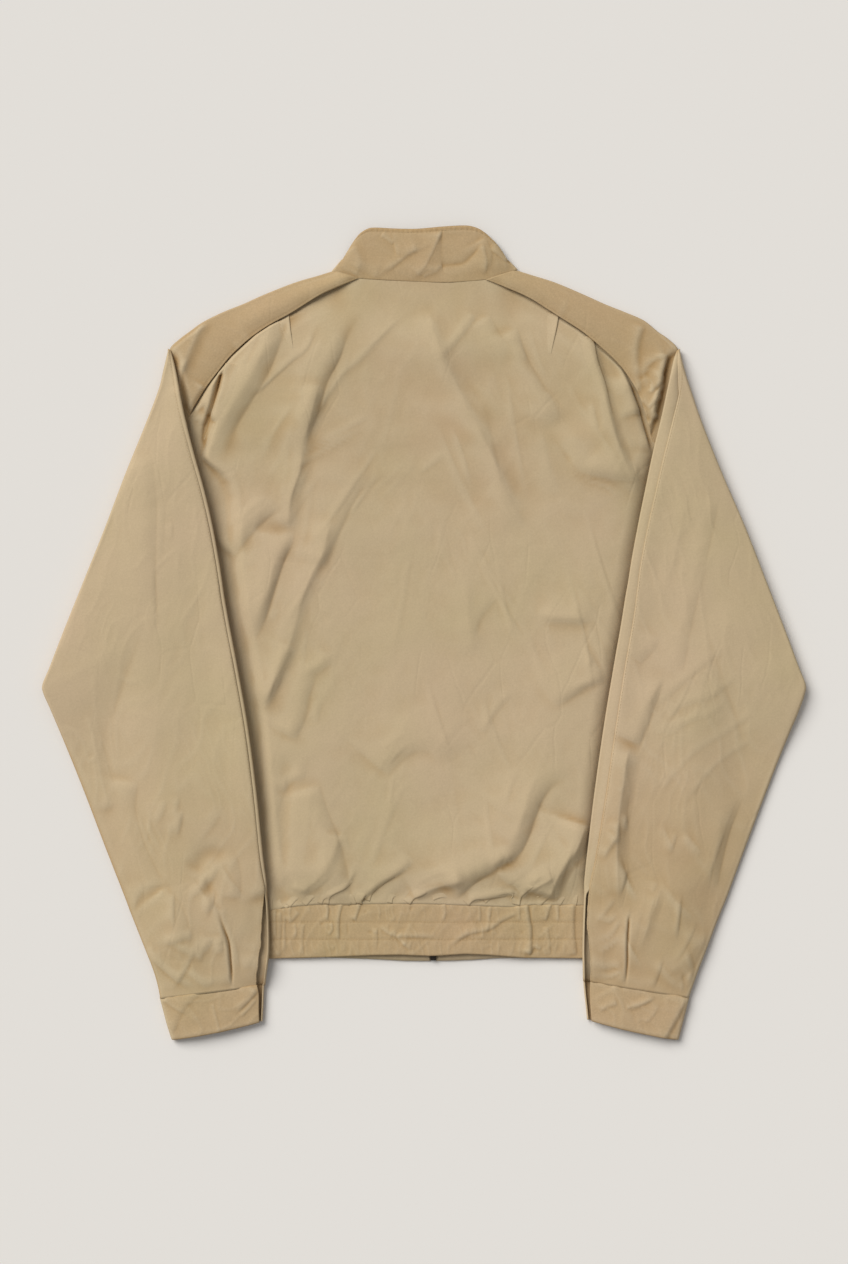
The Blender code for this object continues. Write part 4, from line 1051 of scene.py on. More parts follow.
class Sections:
    """A table of sections, from an outer edge to an inner one, at even steps. Width and seam are columns."""

    def __init__(self, table, spacing, side):
        rows = evenly(table, spacing)
        outer, self.inner = rows[:, 0:2] * (side, 1.0), rows[:, 2:4] * (side, 1.0)
        self.width = np.hypot(*(outer - self.inner).T)[:, None]
        self.unit = (outer - self.inner) / self.width
        self.seam = rows[:, 4:5]

    def at(self, d):
        """Points (x, y) at distances d from the inner edge."""
        return self.inner[:, :1] + self.unit[:, :1] * d, self.inner[:, 1:] + self.unit[:, 1:] * d


def open_edge(radius, lean, tip, rise, count):
    """The raw edge of an open vent, curled up and a little outwards: distances and heights."""
    curl = np.linspace(0.0, 1.0, count)[None, :]
    d = radius * (1.0 - np.sqrt(curl)) + lean * curl + tip * curl**3
    return d, rise * np.sin(0.5 * math.pi * np.clip((curl - 0.15) / 0.85, 0.0, 1.0))


def sleeve_folds(x, y, side):
    seed = SLEEVE_SWELLS[side]
    shape = creased(x, y, SLEEVE_FOLDS[side])
    shape = shape + 0.8 * swell(x, y, 70.0, seed) + 0.35 * swell(x, y, 30.0, seed + 2)
    shape = shape + 0.28 * ridges(x, y, 22.0, seed + 4, side * 18.0, 2.8)
    low = ridges(x, y, 10.0, seed + 6, -15.0 * side, 5.0)
    high = ridges(x, y, 10.0, seed + 8, 18.0 * side, 6.0)
    streaks = lerp(low, high, smooth(-60.0, 10.0, y))
    return shape + 0.18 * streaks * smooth(-0.3, 0.6, swell(x, y, 60.0, seed + 10))


def top_height(x, y, d, width, side):
    """Middle of the layer that shows, d from the inner edge, at rest on the cuff at its end."""
    z = sleeve_rest(x, y, 60.0) + LOW_MID + tube_thickness(d, y, width, side) + 0.95 * smooth(30.0, 8.0, d)
    z = lerp(z, cuff_top(d, width) + 0.75, smooth(-262.0, -334.0, y))
    shape = sleeve_folds(x, y, side)
    shape = shape * smooth(0.0, 6.0, d) * smooth(0.0, 7.0, width - d) * smooth(6.0, 40.0, width)
    to_cuff = y + 328.0 + 0.133 * (np.abs(x) - 150.0)
    return z + shape * lerp(np.where(shape > 0.0, 0.0, 0.6), 1.0, smooth(0.0, 12.0, to_cuff))


def sleeve_top(side, columns=150):
    rows = Sections(SLEEVES[side], 2.5, side)
    width, inner_y = rows.width, rows.inner[:, 1:]
    wrap = np.minimum(OUTER_ROLL, width * 0.28)
    fine = np.concatenate([np.linspace(0.0, 0.04, 7)[:-1], np.linspace(0.04, 1.0, columns)])
    open_vent = smooth(VENT_TOP_Y + 1.0, VENT_TOP_Y - 10.0, inner_y)
    seam = np.minimum(rows.seam, width * 0.45)
    seam = seam + open_vent * (0.9 * swell(rows.inner[:, :1], inner_y, 9.0, 43) + 0.6)
    d = lerp(seam, width - wrap, fine[None, :])
    x, y = rows.at(d)
    z = top_height(x, y, d, width, side)
    lip = sleeve_rest(x, y, 60.0) + 6.2 + 0.5 * swell(x, y, 12.0, 41)
    z = lerp(z, lip, open_vent * smooth(22.0, 0.0, d - seam) * 0.8)
    z = z - 0.2 * dip(d - seam - 1.6, 0.8) - (0.35 + 0.45 * (1.0 - open_vent)) * smooth(1.4, 0.0, d - seam)
    round_d, round_z = rolled_edge(width - wrap, wrap, z[:, -1:], TURNED_MID)
    under_d = np.maximum(width - wrap - (1.5, 4.0), seam)
    d = np.concatenate([d, round_d, under_d], axis=1)
    z = np.concatenate([z, round_z, np.full(under_d.shape, TURNED_MID)], axis=1)
    return np.stack([*rows.at(d), z], axis=-1)


def sleeve_under(side):
    rows = Sections(SLEEVES[side], 4.0, side)
    width, inner_y = rows.width, rows.inner[:, 1:]
    seam, radius = np.minimum(rows.seam, width * 0.45), fold_radius(width)
    vent = smooth(VENT_TOP_Y + 4.0, VENT_TOP_Y - 7.0, inner_y)
    flat = np.concatenate([np.linspace(1.0, 0.3, 14), np.linspace(0.3, 0.0, 14)[1:]])[None, :]
    d = radius + (width - np.minimum(6.5, width * 0.4) - radius) * flat
    z = sleeve_rest(*rows.at(d), 26.0) + LOW_MID
    z = z + edge_rise(inner_y, width, side) * (1.0 - vent) * smooth(26.0, 0.0, d - radius) ** 1.4
    last_z = z[:, -1:]
    angles = np.radians(np.linspace(-90, -270, 9)[1:])[None, :]
    bend_d, bend_z = radius + radius * np.cos(angles), last_z + radius + radius * np.sin(angles)
    steps = np.linspace(0.25, 1.0, 4)[None, :]
    lap_d = radius + (np.maximum(seam + 1.8, radius + 0.6) - radius) * steps
    lap_z = top_height(*rows.at(lap_d), lap_d, width, side) - 1.25 * smooth(-2.5, 0.0, lap_d - seam)
    lap_z = lerp(last_z + 2 * radius, lap_z, steps)
    closed_d, closed_z = np.concatenate([bend_d, lap_d], axis=1), np.concatenate([bend_z, lap_z], axis=1)
    open_d, open_rise = open_edge(radius, 0.3, VENT_CURL, 5.4, closed_d.shape[1])
    d = np.concatenate([d, lerp(closed_d, open_d, vent)], axis=1)
    z = np.concatenate([z, lerp(closed_z, last_z + open_rise, vent)], axis=1)
    return np.stack([*rows.at(d), z], axis=-1)


# Painted shade on the left sleeve's outer edge, which faces the light; none on the right one.
RIM_SHADE = {-1.0: 0.2, 1.0: 0.0}  # the left sleeve's outer edge is the darker one


def sew_sleeve_top(side, name):
    """The layer that shows. It is a little darker towards its cuff, the right one more."""
    points = sleeve_top(side)
    darkening = (0.075 if side > 0 else 0.035) * smooth(-60.0, -220.0, points[..., 1])
    # The last columns, its outer edge, get painted shade.
    return cloth(f"sleeve_{name}", points, darkening=darkening, rim=12, rim_shade=RIM_SHADE[side])


sleeve_tops = {side: sew_sleeve_top(side, name) for side, name in SIDES}
sleeve_unders = {side: cloth(f"sleeve_{name}_under", sleeve_under(side)) for side, name in SIDES}
for side, name in SIDES:
    print(f"sleeve_{name}: {len(sleeve_tops[side].data.polygons)} faces, top at",
          round(PANELS[f"sleeve_{name}"][0][..., 2].max(), 1), "mm")

# %% [markdown]
# A cuff is a doubled band, stiffer than the sleeve. It is pressed flat too, open at the vent, and its
# lower layer shows past the upper one.

# %% Cuffs
CUFF_CREASES = {
    -1.0: (
        (((-246, -344), (-234, -352), (-221, -359)), 8, 2.0, 0.8, 2.0, 0.1, 0.35),
        (((-198, -346), (-195, -358), (-191, -372)), 2.5, 1.2, 0.5, 2.0, 0.1, 0.1),
        (((-178, -357), (-166, -346), (-156, -335)), 8, 3.0, 1.2, 2.0, 0.35, 0.1),
        (((-172, -360), (-163, -350), (-156, -343)), 3, 1.5, 0.5, 2.0, 0.2, 0.2),
        (((-207, -335), (-225, -351), (-236, -374)), 12, 6, 0.8, 2.0, 0.1, 0.1),
        (((-226, -346), (-216, -355), (-210, -366)), 5, 2, 0.4, 2.0, 0.3, 0.3),
    ),
    1.0: (
        (((190, -352), (203, -348), (219, -342)), 4, 1.8, 0.9, 2.0, 0.1, 0.3),
        (((164, -356), (172, -350), (182, -347)), 5, 3.0, 0.8, 0.5, 0.35, 0.1),
        (((193, -354), (204, -349), (214, -345)), 2.5, 1.3, 0.5, 2.0, 0.2, 0.3),
        (((248, -342), (240, -356), (226, -380)), 14, 4.0, 1.7, 0.8, 0.1, 0.0),
        (((180, -327), (192, -349), (200, -372)), 14, 7, 0.8, 2.0, 0.1, 0.35),
        (((222, -346), (216, -358), (206, -366)), 6, 2, 0.5, 2.0, 0.3, 0.3),
    ),
}
CUFF_ROLL = 2.6  # radius of the outer edge
CUFF_VENT = 3.0  # where the lower layer starts to curl up at the vent, from the inner edge


def cuff_grid(side):
    rows = Sections(CUFFS[side], 1.25, side)
    width, low = rows.width, BAND / 2
    fine = np.concatenate([np.linspace(0.0, 0.05, 5)[:-1], np.linspace(0.05, 1.0, 74)])
    d = lerp(rows.seam, width - CUFF_ROLL, fine[None, :])
    x, y = rows.at(d)
    z = cuff_top(d, width) + creased(x, y, CUFF_CREASES[side]) * smooth(0.0, 4.0, width - d)
    z = z + 0.35 * swell(x, y, 24.0, 51) + 0.3 * ridges(x, y, 13.0, 53, side * 50.0, 2.0)
    hem = (np.arange(len(width)) / (len(width) - 1))[:, None]
    z = z - 0.8 * smooth(0.93, 1.0, hem) - 0.7 * smooth(0.05, 0.0, hem)
    round_d, round_z = rolled_edge(width - CUFF_ROLL, CUFF_ROLL, z[:, -1:], low)
    lower_d = CUFF_VENT + (width - CUFF_ROLL - CUFF_VENT) * np.linspace(0.96, 0.04, 12)[None, :]
    rim_d, rim_rise = (part + 0.0 * width for part in open_edge(CUFF_VENT, 0.85, 1.3, 4.6, 8))
    d = np.concatenate([d, round_d, lower_d, rim_d], axis=1)
    z = np.concatenate([z, round_z, low + 0.0 * lower_d, low + rim_rise], axis=1)
    sag = 2.0 * np.sin(math.pi * np.clip(d / width, 0.0, 1.0)) ** 0.6 * hem**2
    x, y = rows.at(d)
    return np.stack([x, y - sag, z], axis=-1)


cuffs = {
    side: cloth(f"cuff_{name}", cuff_grid(side), thickness=BAND, finish=doubled_finish, darkening=0.09)
    for side, name in SIDES
}
print("cuffs:", [len(c.data.polygons) for c in cuffs.values()], "faces")

# %% [markdown]
# The collar stands when the jacket is worn. Laid down, it is folded flat at both sides of the neck, so
# its back lies over its two fronts, which meet at the zip. Its sections go from the seam to the top
# edge.

# %% Collar
COLLAR_STITCHES_AT = 0.93  # of the way from the seam to the top edge
COLLAR_ROLL = 1.6  # how far the fold at each side of the neck reaches out
WEDGE_LEFT = np.array([(331.0, -14.0), (345.0, 0.5), (357.0, 6.7), (367.0, 11.0), (379.0, 16.4)])  # y, x
WEDGE_RIGHT, WEDGE_HEIGHT = 16.5, 1.35
COLLAR_FRONT = (
    # base_x, base_y, top_x, top_y, shift
    (5.2, 262.8, 5.2, 312.5, 1.0), (17.0, 264.8, 14.0, 313.5, 0.9), (31.0, 271.0, 24.0, 318.0, 0.7),
    (45.5, 283.0, 33.0, 328.0, 0.5), (58.0, 298.0, 42.0, 342.0, 0.3), (69.0, 318.0, 49.0, 359.0, 0.1),
)
COLLAR_BACK = np.array([
    # seam_x, seam_y, top_x, top_y
    (-84.6, 341.9, -75.6, 352.6), (-81.0, 340.6, -68.6, 365.2), (-76.0, 339.0, -60.6, 376.2),
    (-69.0, 337.0, -53.0, 381.4), (-62.0, 335.2, -46.0, 382.6), (-40.0, 333.6, -30.0, 381.8),
    (-13.6, 332.3, -8.0, 381.4), (18.8, 331.1, 18.0, 383.6), (40.0, 332.2, 36.0, 384.6),
    (58.0, 333.9, 45.0, 383.8), (67.0, 336.5, 53.0, 380.6), (75.0, 339.5, 61.0, 374.2),
    (82.0, 341.6, 70.0, 364.6), (86.0, 343.4, 77.8, 351.8),
])
COLLAR_CREASES = (
    (((16, 346.5), (26, 347.5), (37, 349.4), (45.7, 356.8), (54.2, 367.3)), 3.4, 3.4, -1.25, 1.1, 0.03, 0.2),
    (((16.2, 347), (12, 341), (4, 338), (0, 335)), 3.5, 1.2, 0.5, 2.0, 0.1, 0.1),
    (((-41, 375), (-35, 371), (-29, 366)), 4, 1.3, 0.7, 2.0, 0.1, 0.2),
    (((-5, 362), (-14, 357), (-24, 349), (-37, 338)), 5, 2.0, 0.5, 2.0, 0.1, 0.3),
    (((56, 367), (59.5, 350), (57, 336)), 7, 2.5, 0.8, 2.0, 0.1, 0.3),
    (((-27, 356), (-13, 359), (0, 364)), 14, 7, 0.9, 2.0, 0.1, 0.35),
    (((-47, 333), (-29, 347), (-4, 361), (14, 372)), 8, 5, 0.5, 0.5, 0.1, 0.35),
    (((-66, 366), (-58, 350), (-63, 336)), 14, 9, 1.0, 0.5, 0.1, 0.1),
    (((-74, 350), (-62, 344), (-45, 334)), 8, 5, 0.5, 2.0, 0.35, 0.1),
    (((56, 374), (63, 358), (60, 338)), 12, 6, 1.1, 2.0, 0.1, 0.35),
    (((78, 350), (68, 358), (60, 363)), 5, 3, 1.2, 2.0, 0.1, 0.3),
    (((-6, 336), (2, 341), (14, 343)), 6, 2, 0.5, 2.0, 0.1, 0.35),
)


def pressed_wedge(x, y):
    """A fold that was pressed flat: up to its left edge, down across the wedge, and a sharp right edge."""
    left, right = np.interp(y, *WEDGE_LEFT.T), WEDGE_RIGHT
    across = np.clip((x - left) / np.maximum(right - left, 0.1), 0.0, 1.0)
    height = WEDGE_HEIGHT * smooth(381.0, 374.0, y) * smooth(330.0, 347.0, y)
    before = np.exp(-((np.maximum(left - x, 0.0) / 13.0) ** 1.5))
    after = lerp(-0.45, 0.0, smooth(right, right + 30.0, x))
    fallen = 1.0 - 0.3 * np.clip((x - left) / 1.2, 0.0, 1.0) - 1.15 * across
    return height * np.where(x < left, before, np.where(x < right, fallen, after))


def collar_back_grid():
    """Columns from the neck seam, v = 0, to the top edge, v = 1, where they crowd."""
    rows = evenly(COLLAR_BACK, 1.1, columns=(0, 1))
    turned = 0.9 + 0.1 * np.sin(np.radians(np.linspace(12, 90, 7)))
    v = np.concatenate([[0.0, 0.012], np.linspace(0.035, 0.9, 29), turned])[None, :]
    x, y = lerp(rows[:, :1], rows[:, 2:3], v), lerp(rows[:, 1:2], rows[:, 3:], v)
    u = np.linspace(-1.0, 1.0, len(rows))[:, None]
    z = neck_level(x) + 0.3 - 1.4 * v + 0.45 * np.sin(math.pi * np.clip(v, 0, 1)) ** 0.8
    folds = creased(x, y, COLLAR_CREASES) + pressed_wedge(x, y)
    z = z + folds * smooth(0.0, 0.06, v) * smooth(1.0, 0.93, v)
    z = z + 0.25 * swell(x, y, 26.0, 61) + 0.12 * ridges(x, y, 11.0, 63, 50.0, 1.6)
    pucker = 0.1 * np.sin(x * 1.35 + 1.5 * swell(x, y, 18.0, 65)) * dip(v - 0.955, 0.05)
    z = z + pucker - 0.3 * dip(v - COLLAR_STITCHES_AT, 0.02) - 0.8 * smooth(0.975, 1.0, v)
    z = z - 0.85 * smooth(0.3, 0.0, v) - 0.15 * smooth(0.02, 0.0, v)
    z = z - smooth(0.9, 1.0, np.abs(u)) * smooth(0.0, 0.3, v)
    return np.stack([x, y, z], axis=-1)


def collar_grid():
    """Front edge, round the fold, across the back and round again: one strip."""
    back_rows = collar_back_grid()
    middle = back_rows[len(back_rows) // 2]
    v = np.linalg.norm(middle - middle[0], axis=1)
    v = (v / v[-1])[None, :]

    def front(side):
        rows = [(side * bx + s * ZIP_X, by, side * tx + s * ZIP_X, ty) for bx, by, tx, ty, s in COLLAR_FRONT]
        rows = evenly(rows, 3.0)
        x, y = lerp(rows[:, :1], rows[:, 2:3], v), lerp(rows[:, 1:2], rows[:, 3:], v)
        z = 0.2 + BAND / 2 + ZIP_LIFT * smooth(90.0, 15.0, np.abs(x - ZIP_X))
        return np.stack([x, y, z + 0 * y], axis=-1)

    def bend(edge, inner):
        """Half a turn from the lower layer to the upper one, outside the two rows that it joins."""
        made = []
        for a in np.radians(np.linspace(-75, 75, 7)):
            row = edge.copy()
            row[:, 0] += np.sign(edge[:, 0]) * COLLAR_ROLL * math.cos(a)
            row[:, 2] = lerp(inner[:, 2], edge[:, 2], (math.sin(a) + 1) / 2)
            made.append(row)
        return np.array(made)

    left, right = front(-1.0), front(1.0)
    left_bend, right_bend = bend(back_rows[0], left[-1]), bend(back_rows[-1], right[-1])
    return np.concatenate([left, left_bend, back_rows, right_bend[::-1], right[::-1]])


# Its top edge gets a little painted shade.
collar = cloth("collar", collar_grid(), thickness=BAND, finish=doubled_finish,
               darkening=0.11, rim=7, rim_shade=0.08)
print("collar:", len(collar.data.polygons), "faces")

# %% [markdown]
# The waistband's back part holds elastic in two rows of stitches, so it is covered in short upright
# crinkles that stop at each stitch line. Their places, lengths and heights are random from a seed, and
# the deepest ones have a place of their own. The hem rises a little in the middle and shows the front
# part behind it.

# %% Waistband
STITCH_ROWS = (-270.7, -287.0)
HEM = np.array([
    (-219, -305), (-145, -305.4), (-91, -304), (-50, -302), (-23, -301.4), (5, -302.5), (18, -302),
    (38, -300.6), (61, -301.6), (95, -304.6), (148, -305.2), (219, -305),
])
BAND_CREASES = (
    (((-90.5, -255), (-90, -262), (-91, -270)), 3, 1.6, 1.0, 2.0, 0.0, 0.3),
    (((-86.5, -271), (-85.7, -278), (-89.5, -284)), 3, 1.6, 0.9, 2.0, 0.1, 0.2),
    (((-77, -255), (-79.9, -269.5), (-79.5, -289)), 4, 1.8, 1.1, 2.0, 0.0, 0.2),
    (((-59.8, -254.6), (-62, -262), (-65, -270.4)), 4, 1.8, 1.1, 2.0, 0.0, 0.2),
    (((-42.5, -275), (-35, -281), (-27.2, -284), (-8, -284.6), (13, -285)), 4, 1.8, 0.8, 2.0, 0.1, 0.2),
    (((-27, -284), (-20, -291), (-12.8, -298)), 5, 2.5, 1.0, 2.0, 0.1, 0.3),
    (((-43.4, -275), (-43.8, -286), (-44, -298)), 4, 2.0, 0.5, 2.0, 0.1, 0.3),
    (((-117, -262), (-122, -268), (-127, -274)), 4, 2.0, 0.8, 2.0, 0.1, 0.3),
    (((20, -255), (20.4, -262), (19, -270)), 3, 1.6, 0.7, 2.0, 0.0, 0.3),
    (((53, -256), (53.5, -264), (53, -272)), 3, 1.6, 0.6, 2.0, 0.0, 0.3),
    (((64, -256), (62, -268), (61, -280)), 3, 1.6, 0.6, 2.0, 0.1, 0.3),
    (((90, -256), (90.5, -263), (91, -270)), 3, 1.6, 0.7, 2.0, 0.0, 0.3),
    (((97.9, -256), (99.8, -269.5), (101.3, -279), (100.8, -296), (99.8, -303)), 7, 3.0, 1.6, 2.0, 0.0, 0.1),
    (((90, -262.5), (74.9, -269.5), (61.5, -278), (40.3, -283), (25, -294.5)), 5, 2.6, 1.0, 2.0, 0.1, 0.2),
    (((119, -257), (117, -264), (114.8, -270.4)), 4, 2.0, 1.0, 2.0, 0.0, 0.2),
    (((127, -256), (127, -264), (126.5, -270)), 3, 1.6, 0.7, 2.0, 0.0, 0.2),
    (((117, -274), (118.5, -288), (119, -302)), 4, 2.0, 0.6, 2.0, 0.1, 0.1),
    (((142, -256), (141.1, -271), (141.5, -281), (143.9, -303)), 8, 3.6, 1.1, 2.0, 0.0, 0.1),
    (((100.5, -301), (104, -295), (110, -298)), 4, 2.4, 1.0, 2.0, 0.1, 0.2),
    (((-112, -272), (-114, -284), (-113, -302)), 3, 1.8, 0.6, 2.0, 0.1, 0.1),
    (((-134, -260), (-135, -285), (-136, -304)), 8, 4, 1.0, 2.0, 0.1, 0.1),
    (((-139, -258), (-140, -270), (-139, -286)), 3, 1.5, 0.7, 2.0, 0.1, 0.2),
    (((-130, -263), (-131, -276), (-130, -299)), 3, 1.4, 0.6, 2.0, 0.2, 0.3),
    (((-125, -257), (-126, -264), (-125, -271)), 2.5, 1.2, 0.6, 2.0, 0.0, 0.3),
    (((-121, -272), (-120, -279), (-121, -287)), 2.5, 1.2, 0.6, 2.0, 0.1, 0.3),
)


def crinkles(seed, count=72):
    """Short upright creases inside the three channels, as rows of a crease table. Most are troughs."""
    random = np.random.default_rng(seed)
    channels = ((WAIST_Y - 1.0, STITCH_ROWS[0]), STITCH_ROWS, (STITCH_ROWS[1], -304.0))
    made = []
    for i in range(count):
        high, low = channels[i % 3]
        x, lean = random.uniform(-222.0, 222.0), random.uniform(-2.0, 2.0)
        start, end = sorted(random.uniform(0.0, 1.0, 2))
        start, end = (0.0, max(end, 0.3)) if random.random() < 0.45 else (start, max(end, start + 0.25))
        height = 0.1 + 0.55 * random.random() ** 2.5
        line = ((x, lerp(high, low, start)), (x + 0.7 * lean, lerp(high, low, 0.5 * (start + end))),
                (x + lean, lerp(high, low, end)))
        if random.random() < 0.75:
            made.append((line, random.uniform(0.9, 1.8), 1.0, -1.3 * height, 1.5, 0.35, 0.6))
        else:
            made.append((line, random.uniform(2.0, 5.0), random.uniform(0.9, 1.6), height, 2.0, 0.35, 0.6))
    return made


def waistband_grid():
    columns, rows = 520, 42
    u = np.linspace(-1.0, 1.0, columns)[None, :]
    t = np.concatenate([np.linspace(0.0, 0.06, 5)[:-1], np.linspace(0.06, 1.0, rows - 4)])[:, None]
    x = u * lerp(WAIST_HALF, HEM_HALF, t)
    y = lerp(np.interp(x, *WAIST_SEAM.T) + 1.6, np.interp(x, *HEM.T), t)
    z = waistband_low(x) + BAND / 2 + 0.2
    levels = (HEM[:, 1].mean(), STITCH_ROWS[1], STITCH_ROWS[0], WAIST_Y)
    for low, high in zip(levels, levels[1:]):
        window = np.sqrt(np.maximum(np.sin(math.pi * np.clip((y - low) / (high - low), 0.0, 1.0)), 0.0))
        pulled = ridges(x, y, 7.0, 89 + int(-low), 4.0, 4.0) * smooth(-0.9, 0.5, swell(x, y, 40.0, 97))
        z = z + 0.15 * window + 0.45 * window * pulled
    z = z + creased(x, y, BAND_CREASES) + creased(x, y, crinkles(75)) + 0.3 * swell(x, y, 16.0, 81)
    z = z + 0.3 * ridges(x, y, 18.0, 83, -35.0, 2.5)
    pinch = 0.5 + 0.5 * np.sin(x * 1.9 + 2.0 * swell(x, y, 11.0, 87))
    for line in STITCH_ROWS:
        z = z - (0.12 + 0.3 * pinch) * dip(y - line, 0.75)
    z = z - 1.2 * smooth(0.05, 0.0, t) - 1.0 * smooth(0.97, 1.0, t)
    return np.stack([x, y, np.maximum(z, waistband_low(x) + BAND / 2 + 0.1)], axis=-1)


waistband = cloth("waistband_back", waistband_grid(), thickness=BAND, finish=doubled_finish, darkening=0.105)
print("waistband:", len(waistband.data.polygons), "faces")

# %% [markdown]
# The fronts lie face down on the table under everything else. They have to be there, and they are
# finished as plainly as the rest: a soft swell here and there, flat where they rest.

# %% Fronts
FRONT_HEM = np.array([
    (-219, -304.6), (-140, -304.4), (-91, -304.6), (-53, -305.8), (-17, -307.7), (2, -307.8), (13, -307.7),
    (25, -307.5), (44, -306.9), (68, -305.2), (140, -304.2), (219, -304.6),
])
FRONT_ROWS = (
    # edge_y, side_x, side_y
    (-253.6, 224.0, -253.6), (-190.0, 232.5, -190.0), (-110.0, 244.5, -110.0), (-30.0, 256.5, -30.0),
    (7.0, 261.0, 6.5), (60.0, 255.0, 36.5), (110.0, 248.5, 75.5), (150.0, 242.5, 117.5),
    (185.0, 237.5, 154.5), (215.0, 232.5, 194.5), (240.0, 228.5, 223.5), (262.4, 221.5, 248.5),
)
FRONT_NECK = (
    # neck_x, neck_y, shift, shoulder_x, shoulder_y
    (17.4, 264.4, 0.9, 211.5, 264.5), (31.4, 270.6, 0.7, 197.5, 278.5), (45.9, 282.6, 0.5, 174.5, 292.5),
    (58.4, 297.6, 0.3, 144.5, 305.5), (69.4, 317.6, 0.1, 109.5, 319.5), (76.8, 329.2, 0.0, 87.5, 330.8),
)


def front_grid(side):
    edge = ZIP_X + side * ZIP_GAP
    table_rows = [(edge, ey, side * sx, sy) for ey, sx, sy in FRONT_ROWS]
    table_rows += [(side * nx + s * ZIP_X, ny, side * sx, sy) for nx, ny, s, sx, sy in FRONT_NECK]
    rows = evenly(table_rows, 5.0)
    t = np.linspace(0.0, 1.0, 46)[None, :]
    x, y = lerp(rows[:, :1], rows[:, 2:3], t), lerp(rows[:, 1:2], rows[:, 3:], t)
    lift = ZIP_LIFT * smooth(90.0, 15.0, np.abs(x - ZIP_X)) * smooth(185.0, 250.0, y)
    soft = np.clip(0.5 * swell(x, y, 60.0, 91) + 0.5 * ridges(x, y, 34.0, 93, side * 20.0, 2.6), 0.0, 1.0)
    inside = np.sin(math.pi * t) ** 0.5 * smooth(WAIST_Y, WAIST_Y + 20.0, y) * smooth(262.0, 236.0, y)
    return np.stack([x, y, CLOTH / 2 + lift + 0.7 * soft * inside], axis=-1)


def waistband_front_grid(side):
    t, u = np.linspace(0.0, 1.0, 18)[:, None], np.linspace(0.0, 1.0, 110)[None, :]
    to_zip = ZIP_X + side * lerp(ZIP_GAP, ZIP_GAP_AT_HEM, smooth(0.3, 0.8, t))
    x = lerp(to_zip, side * lerp(WAIST_HALF, HEM_HALF, t), u)
    y = lerp(WAIST_Y, np.interp(x, *FRONT_HEM.T), t)
    z = BAND / 2 + 0.25 * smooth(0.2, 0.8, ridges(x, y, 9.0, 95, 3.0, 6.0))
    return np.stack([x, y, z], axis=-1)


fronts = {side: cloth(f"front_{name}", front_grid(side)) for side, name in SIDES}
front_bands = {
    side: cloth(f"waistband_front_{name}", waistband_front_grid(side), thickness=BAND)
    for side, name in SIDES
}
print("fronts:", [len(f.data.polygons) for f in fronts.values()], "faces")

# %% [markdown]
# A tuck is a pinch of cloth that is sewn flat under the saddle and opens out below. Each one is a small
# lip: one edge is folded and stands off the back, the other runs out into it. The gathers above the
# waistband are lips too, short and uneven, where the elastic has pulled the cloth over itself.

# %% Tucks and gathers
TUCKS = (
    # name, line, width, lift, which way the lip's cloth lies: 1 towards the light, -1 away from it
    ("tuck_left_inner", ((-127.5, 304.0), (-126.0, 290.0), (-124.0, 276.0), (-121.5, 262.0)), 15.0, 1.5, 1),
    ("tuck_right_inner", ((127.0, 302.0), (124.5, 288.0), (121.0, 272.0), (118.0, 256.0)), 15.0, 1.6, 1),
    ("tuck_left_outer", ((-186.5, 255.0), (-188.5, 244.0), (-189.8, 235.0), (-193.5, 221.0), (-198.5, 207.0),
                         (-205.0, 190.0), (-213.0, 172.0)), 17.0, 2.6, -1),
    ("tuck_right_outer", ((159.0, 281.0), (163.0, 258.0), (170.0, 236.0), (175.5, 212.0), (181.0, 194.0)),
     17.0, 2.0, 1),
)
GATHERS = (
    # line from the waist seam up, width, lift
    (((-129, -259), (-133.7, -254), (-136.5, -247)), 9.5, 0.5),
    (((-126, -257), (-121, -251), (-116, -247)), 9.5, 0.5),
    (((-111, -256), (-106, -250), (-101, -245)), 9.5, 0.5),
    (((-96, -254), (-93.3, -248.8), (-85, -247.4)), 7.6, 0.62),
    (((-89.5, -254), (-88.5, -248), (-83.8, -243.7), (-75, -239.8), (-68.4, -234), (-62.7, -227)), 9.5, 0.68),
    (((-63.6, -254), (-65.5, -248), (-70.3, -242)), 7.6, 0.5),
    (((-59, -254), (-57, -248), (-53, -243)), 11.4, 1.3),
    (((-51, -251), (-48.3, -243.6), (-40.6, -237), (-31, -230), (-22, -225)), 12, 0.62),
    (((-30, -253), (-29, -248), (-25, -245)), 7.6, 0.56),
    (((-13, -254), (-9, -248.4), (-2, -245.5), (6, -241)), 11.4, 1),
    (((9, -250), (16, -247.5), (24, -248.5)), 7.6, 0.56),
    (((42, -255), (48, -249.6), (59, -249), (73, -247), (86, -245)), 11.4, 0.87),
    (((58, -253), (64, -248), (74, -244.5), (84, -244)), 7.6, 0.5),
    (((90, -255), (92, -246.5), (98, -240.8), (106, -234)), 11.4, 1),
    (((88, -252), (82, -245.5), (74, -240)), 7.6, 0.43),
    (((108, -257), (114, -251), (120, -246)), 9.5, 0.68),
    (((128, -256), (131, -251), (134, -246)), 7.6, 0.5),
    (((143, -257), (144.5, -250), (145, -243)), 7.6, 0.56),
    (((-142, -260), (-143, -252), (-141, -244)), 7.6, 0.56),
)


